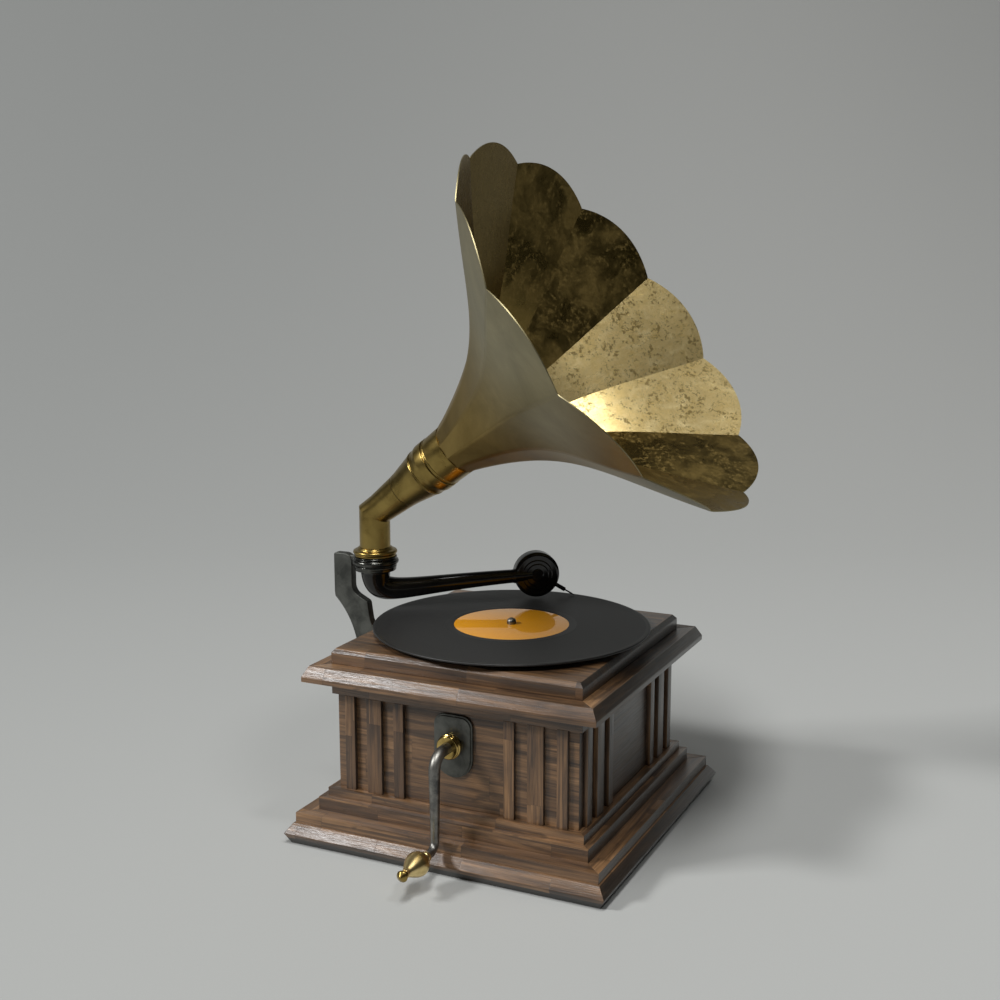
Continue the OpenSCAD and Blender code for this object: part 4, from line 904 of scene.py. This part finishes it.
def sheet_brass():
    brass = Finish("horn brass", Metallic=1.0)
    laid = brass.node("Attribute", "Vector", {"attribute_name": "laid"})
    inner = brass.node("Attribute", "Fac", {"attribute_name": "inner"})
    inner = inner.math("GREATER_THAN", 0.5)
    side, travel, number = parts_of(laid)
    local = brass.moved(brass.place(), number * 1.7, number * 2.3, number * 0.9)

    cloud = brass.noise(local, 17.0, 7.0, 0.66, 0.5)
    blotch = brass.noise(local, 46.0, 9.0, 0.7, 0.8)
    speck = brass.noise(local, 260.0, 6.0, 0.72)
    kept_bright = from_gore(number, FIRST_BRIGHT) * (1.0 - from_gore(number, LAST_BRIGHT + 1))
    worn = 1.0 - 0.85 * from_gore(number, FIRST_WORN)
    patch = (cloud * 0.6 + blotch * 0.4).between(0.38, 0.62)
    flecks = speck.between(0.5, 0.57) * blotch.between(0.42, 0.54)
    edge = 1.0 - (cloud - 0.46).absolute().between(0.0, 0.012)
    stain = (patch * (0.95 - 0.6 * kept_bright)).at_least(flecks * 0.95).at_least(edge * 0.35)
    stain = stain * worn * (0.3 + 0.7 * travel.between(0.18, 0.5).at_least(1.0 - kept_bright))
    swirl = brass.noise(brass.scaled(local, 55, 55, 55), 1.0, 4.0, 0.6, 6.0)
    cloth = vector_of(brass.tree, side * 60.0, travel * 9.0, swirl * 3.0)
    stroke = brass.noise(cloth, 1.0, 5.0, 0.7, 2.0)

    bright = brass.mixed(
        kept_bright,
        brass.ramp(stroke, (0.3, (128, 109, 58)), (0.7, (158, 135, 76))),
        brass.ramp(stroke, (0.3, (218, 188, 116)), (0.7, (254, 232, 172))),
    )
    tarnish = brass.mixed(
        kept_bright,
        brass.ramp(speck, (0.3, (136, 116, 66)), (0.75, (180, 155, 96))),
        brass.ramp(speck, (0.3, (52, 43, 19)), (0.75, (112, 93, 46))),
    )
    inside_colour = brass.mixed(stain.at_most(1.0) * 0.9, bright, tarnish)
    outside_colour = brass.mixed(
        travel.between(0.1, 0.8),
        brass.ramp(cloud, (0.35, (124, 104, 58)), (0.65, (150, 128, 76))),
        brass.ramp(cloud, (0.35, (138, 129, 96)), (0.65, (162, 152, 118))),
    )
    inside_rough = 0.24 + 0.05 * kept_bright + stain * (0.3 - 0.2 * kept_bright)
    inside_rough = inside_rough + 0.16 * (stroke - 0.5).absolute()
    outside_rough = 0.38 + 0.12 * cloud
    brass.feed(
        Base_Color=brass.mixed(inner, outside_colour, inside_colour),
        Roughness=outside_rough * (1.0 - inner) + inside_rough * inner,
        Normal=brass.bump(blotch * 0.6 + cloud + stroke * 0.25 * inner, 0.35, 0.0005),
    )
    return brass.material


horn_brass = sheet_brass()
for number in range(1, 13):
    name = "horn_petal_" + str(number)
    mesh = petal.grown(name, Number=number, Finish=horn_brass)
    add_piece(name.replace("_", " "), mesh, horn_brass, "horn", "horn_brass", smooth=40)
print("petals:", len(mesh.polygons), "faces each")

# %% [markdown]
# ## Neck of the horn
# Below the petals come a ringed socket, a tapered sleeve with a double bead, and a mitred elbow of
# thin tube, which stands in a turned ferrule. The ferrule turns with the horn in the steel collar.

# %% Socket, sleeve, elbow and ferrule
HORN = Matrix.Translation(ELBOW) @ rotated(HORN_TURN, "Y")


def bead(middle, height, size, low, high, steps=12):
    """Points of a round bead, from one angle to another in degrees."""
    turns = [radians(low + (high - low) * i / steps) for i in range(steps + 1)]
    return [(middle + size * cos(a), height + size * sin(a)) for a in turns]


inner_r = ROOT_R * cos(radians(15)) - SHEET - 0.3
throat_outline = [
    (21.3, 70.5), *rounded([
        (23.1, 70.5), (23.5, 74), (24.8, 78), (24.9, 85.8), (24.5, 86.2), (23.2, 86.2), (23.2, 88.2)
    ], 0.3),
    *bead(24.1, 89.0, 0.8, -90, 60), (24.6, 90.4), (ROOT_R, BELL_AT), (inner_r, BELL_AT),
    (inner_r, BELL_AT + 5), (inner_r - 1, BELL_AT + 5), (inner_r - 1, 83.2)
]
neck_outline = rounded([
    (15.8, 38.5), (16.6, 38.5), (17.2, 39.2), (17.8, 44), (22.6, 67.5), (23.2, 68.1), (23.2, 68.7),
    (22.8, 69.1), (23.4, 69.6), (23.4, 70.4), (21.3, 70.4)
], 0.3)
ferrule_outline = [
    (9.35, -5.5), (10.95, -5.5), (10.95, 0), (19.1, 0), (19.5, 0.5), (19.5, 1.4), (19.1, 1.8),
    *bead(18.7, 3.7, 2.0, -60, 90), (17.1, 6.2), (16.7, 6.8), (16.4, 6.8),
    *bead(15.0, 7.0, 1.2, 0, 90), (14.4, 8.2), (14.4, 2.8), (9.35, 2.8)
]
for name, outline, place in (
    ("horn throat", throat_outline, HORN), ("horn neck", neck_outline, HORN),
    ("horn ferrule", ferrule_outline, upright(PIVOT_X, 0, FERRULE_Z)),
):
    turned_piece(name, outline, place, lacquered_brass, "horn", "brass")


TUBE_LOW, TUBE_TOP, TUBE_R = 232.1, 259.0, 14.4      # upright part
SLEEVE_LOW, NECK_AT, NECK_R = 8.0, 38.5, 17.0        # part along the horn's axis


def mitred_elbow():
    """Two skins of rings: up the tube, through the mitre, and out along the horn's axis."""
    shape = bmesh.new()
    slope = tan(radians(HORN_TURN / 2))

    def tube(height):
        return lambda x, y: Vector((PIVOT_X + x, y, height)) * MM

    def mitre(x, y):
        return ELBOW + Vector((x, y, -x * slope)) * MM

    def sleeve(height):
        return lambda x, y: HORN @ (Vector((x, y, height)) * MM)

    def ring(radius, place):
        return [shape.verts.new(place(radius * cos(a), radius * sin(a))) for a in around_axis(96)]

    rings = []
    for depth, order in ((0.0, 1), (SHEET, -1)):
        thin, wide = TUBE_R - depth, NECK_R - depth
        skin = [
            (thin, tube(TUBE_LOW)), (thin, tube(TUBE_TOP)), (thin, mitre),
            (thin, sleeve(SLEEVE_LOW)), (wide, sleeve(NECK_AT))
        ]
        rings += [ring(*entry) for entry in skin[::order]]
    for low, high in zip(rings, rings[1:] + rings[:1]):
        bridge(shape, low, high)
    return shape


elbow_mesh = as_mesh("horn elbow", mitred_elbow())
add_piece("horn elbow", elbow_mesh, lacquered_brass, "horn", "brass", smooth=16)
print("horn's neck pieces ready, elbow faces:", len(elbow_mesh.polygons))

# %% [markdown]
# ## Collar and bracket
# A dark steel collar, turned with a bead and two steps, holds the ferrule above and the tonearm
# below. The cast bracket that carries it keeps its CAD shape, with the edges of the casting eased.

# %% Swivel collar and bracket
collar_outline = rounded([
    (11, 0), (19.2, 0), (19.6, 0.6), (19.6, 2.4), (20, 3), (20, 4.4), (19.2, 5), (19.2, 5.4)
], 0.25) + bead(19.4, 8.4, 2.6, -80, 80) + rounded([
    (19.4, 11.6), (20.4, 12.4), (20.4, 13), (19.9, 13.5), (11, 13.5)
], 0.25)
collar_place = upright(PIVOT_X, 0, COLLAR_Z)
turned_piece("swivel collar", collar_outline, collar_place, collar_steel, "cabinet", "steel")
eased_piece("bracket", cast_iron, 0.9, "cast_iron", least=0.8, turn=50, steps=3)

# %% [markdown]
# ## Tonearm and soundbox
# The tonearm is a tapered pipe under glossy black enamel that bends out from the swivel and runs
# to the soundbox. A Geometry Nodes tree follows the same cubic as the CAD and tapers a circle
# along it.

# %% Black enamel
enamel = mottled(
    "black enamel", (70.0, 6.0, 0.65, 0.5), (0.35, (14, 13, 11)), (0.8, (30, 27, 22)),
    0.12, 0.0002, Roughness=0.13, IOR=1.5
)
print("enamel ready")

# %% Tonearm by Geometry Nodes
ARM_TOP = 215.2
ARM_END = Vector((129.5, 0, 203.0))
arm = Recipe(
    "Tapered pipe on a curve",
    ("Start", Vector((0, 0, ARM_TOP)) * MM),
    ("Start handle", Vector((0, 0, 185.72)) * MM),
    ("End handle", Vector((14.72, 0, 198.2)) * MM),
    ("End", ARM_END * MM),
    ("Start radius", 14.0 * MM),
    ("End radius", 6.5 * MM),
    ("Sides", 56),
    ("Steps", 64),
    ("Pivot", Vector((PIVOT_X, 0, 0)) * MM),
    ("Swing", radians(ARM_SWING)),
)
curve = arm.step(
    "CurvePrimitiveBezierSegment", Resolution=arm["Steps"], Start=arm["Start"],
    Start_Handle=arm["Start handle"], End_Handle=arm["End handle"], End=arm["End"]
)
portion = arm.step("SplineParameter", "Factor")
taper = arm["Start radius"] + (arm["End radius"] - arm["Start radius"]) * portion
curve = arm.step("SetCurveRadius", Curve=curve, Radius=taper)
circle = arm.step("CurvePrimitiveCircle", Resolution=arm["Sides"], Radius=1.0)
pipe = arm.step("CurveToMesh", Curve=curve, Profile_Curve=circle, Scale=taper, Fill_Caps=True)
arm.finish(arm.step(
    "Transform", Geometry=pipe, Translation=arm["Pivot"],
    Rotation=arm.vector(0.0, 0.0, arm["Swing"])
))
pipe_mesh = arm.grown("tonearm", Finish=enamel)
add_piece("tonearm", pipe_mesh, enamel, "arm", "black_enamel", smooth=50)
flange_outline = [
    (0, -2), *rounded([(14.1, -2), (15.3, -0.3), (15.3, 0), (10.95, 0), (10.95, 5.8)], 0.3),
    (0, 5.8)
]
flange_place = upright(PIVOT_X, 0, ARM_TOP)
turned_piece("tonearm flange", flange_outline, flange_place, enamel, "arm", "black_enamel", node="")
print("tonearm faces:", len(pipe_mesh.polygons))

# %% Soundbox
ARM_RISE = 2.397         # slope of the tonearm's end, in degrees
ON_ARM = upright(PIVOT_X) @ rotated(ARM_SWING, "Z") @ upright(*ARM_END) @ rotated(-ARM_RISE, "Y")
BOX = ON_ARM @ upright(25.2)
DISC = BOX @ rotated(-90, "X")
ALONG = BOX @ rotated(90, "Y")
case_outline = [
    (0, -6.0), *rounded([
        (5, -6.0), (6, -5.2), (10.4, -5.2), (11, -4.6), (14, -4.6), (14.6, -4.0), (18.8, -4.0),
        (20.2, -3.6), (21.8, -2.2), (21.8, 6.6), (19.8, 6.6), (19.8, 4.1), (16.8, 4.1), (16.8, 3.3)
    ], 0.35), (0, 3.3)
]
socket_outline = [
    (0, -24.9), *rounded([
        (6.5, -24.9), (6.5, -22.8), (7.0, -22.4), (7.0, -21.0), (6.5, -20.6), (5.9, -4)
    ], 0.25), (0, -4)
]
case_mesh = as_mesh(
    "soundbox case", turned(case_outline, DISC, 128), turned(socket_outline, ALONG, 64)
)
add_piece("soundbox case", case_mesh, enamel, "soundbox", "black_enamel")
ring_outline = rounded([(16.8, 6.6), (21.8, 6.6), (21.8, 8.6), (20.6, 9.6), (16.8, 9.6)], 0.4)
turned_piece("soundbox ring", ring_outline, DISC, cast_iron, "soundbox", "cast_iron", around=128)
print("soundbox case:", len(case_mesh.polygons), "faces")

# %% [markdown]
# ## What keeps its CAD shape
# The motor, the bottom board, the stylus bar, the needle and a few small pieces keep their CAD mesh
# and get a finish: machined brass on plates and wheels, steel on spindle, pillars and screws, red
# rubber on the gaskets and mica on the diaphragm.

# %% Finishes for the pieces that stay
rubber = mottled(
    "red rubber", (180.0, 5.0, 0.6), (0.3, (92, 44, 34)), (0.75, (134, 76, 60)),
    0.3, 0.0001, Roughness=0.75
)
mica = mottled(
    "mica", (90.0, 6.0, 0.6, 1.0), (0.3, (150, 138, 108)), (0.7, (204, 194, 164)),
    0.15, 0.0001, Roughness=0.15, Coat_Weight=0.5
)
plain_wood = walnut("Y", stave=0.06, tone=1.1)
for finish, nodes in (
    (plain_wood, ["bottom_board"]), (rubber, ["soundbox_gaskets"]), (mica, ["diaphragm"]),
    (worn_steel, ["bracket_screws", "spindle", "needle_screw", "motor_pillars", "barrel_arbor"]),
    (collar_steel, ["stylus_bar", "needle"]), (polished_brass, ["governor"]),
    (gear_brass, ["motor_plate_top", "motor_plate_bottom", "spring_barrel", "second_arbor"]),
):
    for node in nodes:
        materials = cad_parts[node].data.materials
        if materials:
            materials[0] = finish
        else:
            materials.append(finish)
    print(finish.name, "on", ", ".join(nodes))

# %% [markdown]
# ## Floor, light and camera
# The gramophone stands on a plain grey sweep, painted a little lighter on the right, most of all
# far up the wall, as painted light. The shadows in the photograph show three lights: a wide one to
# the left in front, which also glints on the bevels, a tall one high in front, which throws the
# horn's shadow close behind the cabinet, and a weaker one high on the right. A small lamp overhead
# glints in the root of the horn. The camera was solved from the edges of the cabinet.

# %% Grey sweep
SWEEP_TURN = radians(25.5)          # square to the camera
FLOOR_FRONT, FLOOR_BACK, SWEEP_R, WALL_TOP, SWEEP_HALF = -4.0, 1.1, 4.4, 7.0, 6.0


def sweep_mesh():
    """A floor that curves up into a wall behind, seen from the camera."""
    bend = [radians(2.5 * i) for i in range(1, 37)]
    rows = [(FLOOR_FRONT, 0.0), (FLOOR_BACK, 0.0)]
    rows += [(FLOOR_BACK + SWEEP_R * sin(a), SWEEP_R - SWEEP_R * cos(a)) for a in bend]
    rows += [(FLOOR_BACK + SWEEP_R, WALL_TOP)]
    corners = [(x, y, z) for y, z in rows for x in (-SWEEP_HALF, SWEEP_HALF)]
    faces = [(2 * i, 2 * i + 1, 2 * i + 3, 2 * i + 2) for i in range(len(rows) - 1)]
    mesh = bpy.data.meshes.new("sweep")
    mesh.from_pydata(corners, [], faces)
    mesh.transform(Matrix.Rotation(SWEEP_TURN, 4, "Z"))
    return mesh


paper = Finish("grey paper", Roughness=0.85)
tooth = paper.noise(paper.place(), 900.0, 3.0, 0.5)
paper_x, paper_y, paper_z = parts_of(paper.place())
depth = paper_y * cos(SWEEP_TURN) - paper_x * sin(SWEEP_TURN)
far = (depth * 0.5 + paper_z).between(-0.6, 2.6)
aside = paper_x * cos(SWEEP_TURN) + paper_y * sin(SWEEP_TURN)
# Painted light: the paper is painted lighter towards the right, most of all far up the wall.
paper.feed(Base_Color=paper.mixed(
    aside.between(-1.3, 1.3) * (0.7 + 0.3 * far),
    paper.ramp(tooth, (0.2, (171, 173, 171)), (0.8, (175, 177, 175))),
    paper.ramp(tooth, (0.2, (197, 198, 195)), (0.8, (201, 202, 199)))
))
floor = new_object("grey sweep", sweep_mesh())
floor.data.materials.append(paper.material)
floor.data.shade_smooth()
print("sweep ready")

# %% Lights and world
LIT_MIDDLE = Vector((0.0, 0.0, 0.15))


def softbox(name, direction, distance, wide, tall, watts):
    """A soft lamp at a distance in metres, turned to the middle of the cabinet."""
    light = bpy.data.lights.new(name, "AREA")
    light.shape = "RECTANGLE"
    light.size = wide
    light.size_y = tall
    light.energy = watts
    lamp = new_object(name, light)
    towards = Vector(direction).normalized()
    lamp.location = LIT_MIDDLE + towards * distance
    lamp.rotation_euler = towards.to_track_quat("Z", "Y").to_euler()


softbox("key, left in front", (-0.616, -0.555, 0.559), 10.0, 2.2, 1.1, 570)
softbox("top, in front", (0.091, -0.36, 0.927), 4.2, 0.7, 1.6, 84)
softbox("side, high on the right", (0.435, -0.176, 0.883), 4.5, 0.5, 0.5, 24)
softbox("small, overhead", (0.14, -0.07, 0.988), 4.2, 0.5, 0.5, 10)
world = bpy.data.worlds.new("studio")
world.use_nodes = True
sky = world.node_tree.nodes["Background"]
sky.inputs["Color"].default_value = (0.62, 0.64, 0.62, 1)
sky.inputs["Strength"].default_value = 0.035
bpy.context.scene.world = world
bpy.context.scene.view_settings.view_transform = "Standard"

# %% Camera
lens = bpy.data.cameras.new("camera")
lens.lens = 50
lens.sensor_width = 36
lens.clip_end = 30
camera = new_object("camera", lens)
PLACE, AROUND, DOWN, ROLL = (0.5132, -1.0994, 0.5174), 25.51, 10.49, -0.07
camera.matrix_world = (
    Matrix.Translation(PLACE) @ rotated(AROUND, "Z") @ rotated(90 - DOWN, "X") @ rotated(ROLL, "Z")
)
bpy.context.scene.camera = camera
print("camera at", [round(v, 3) for v in camera.location])
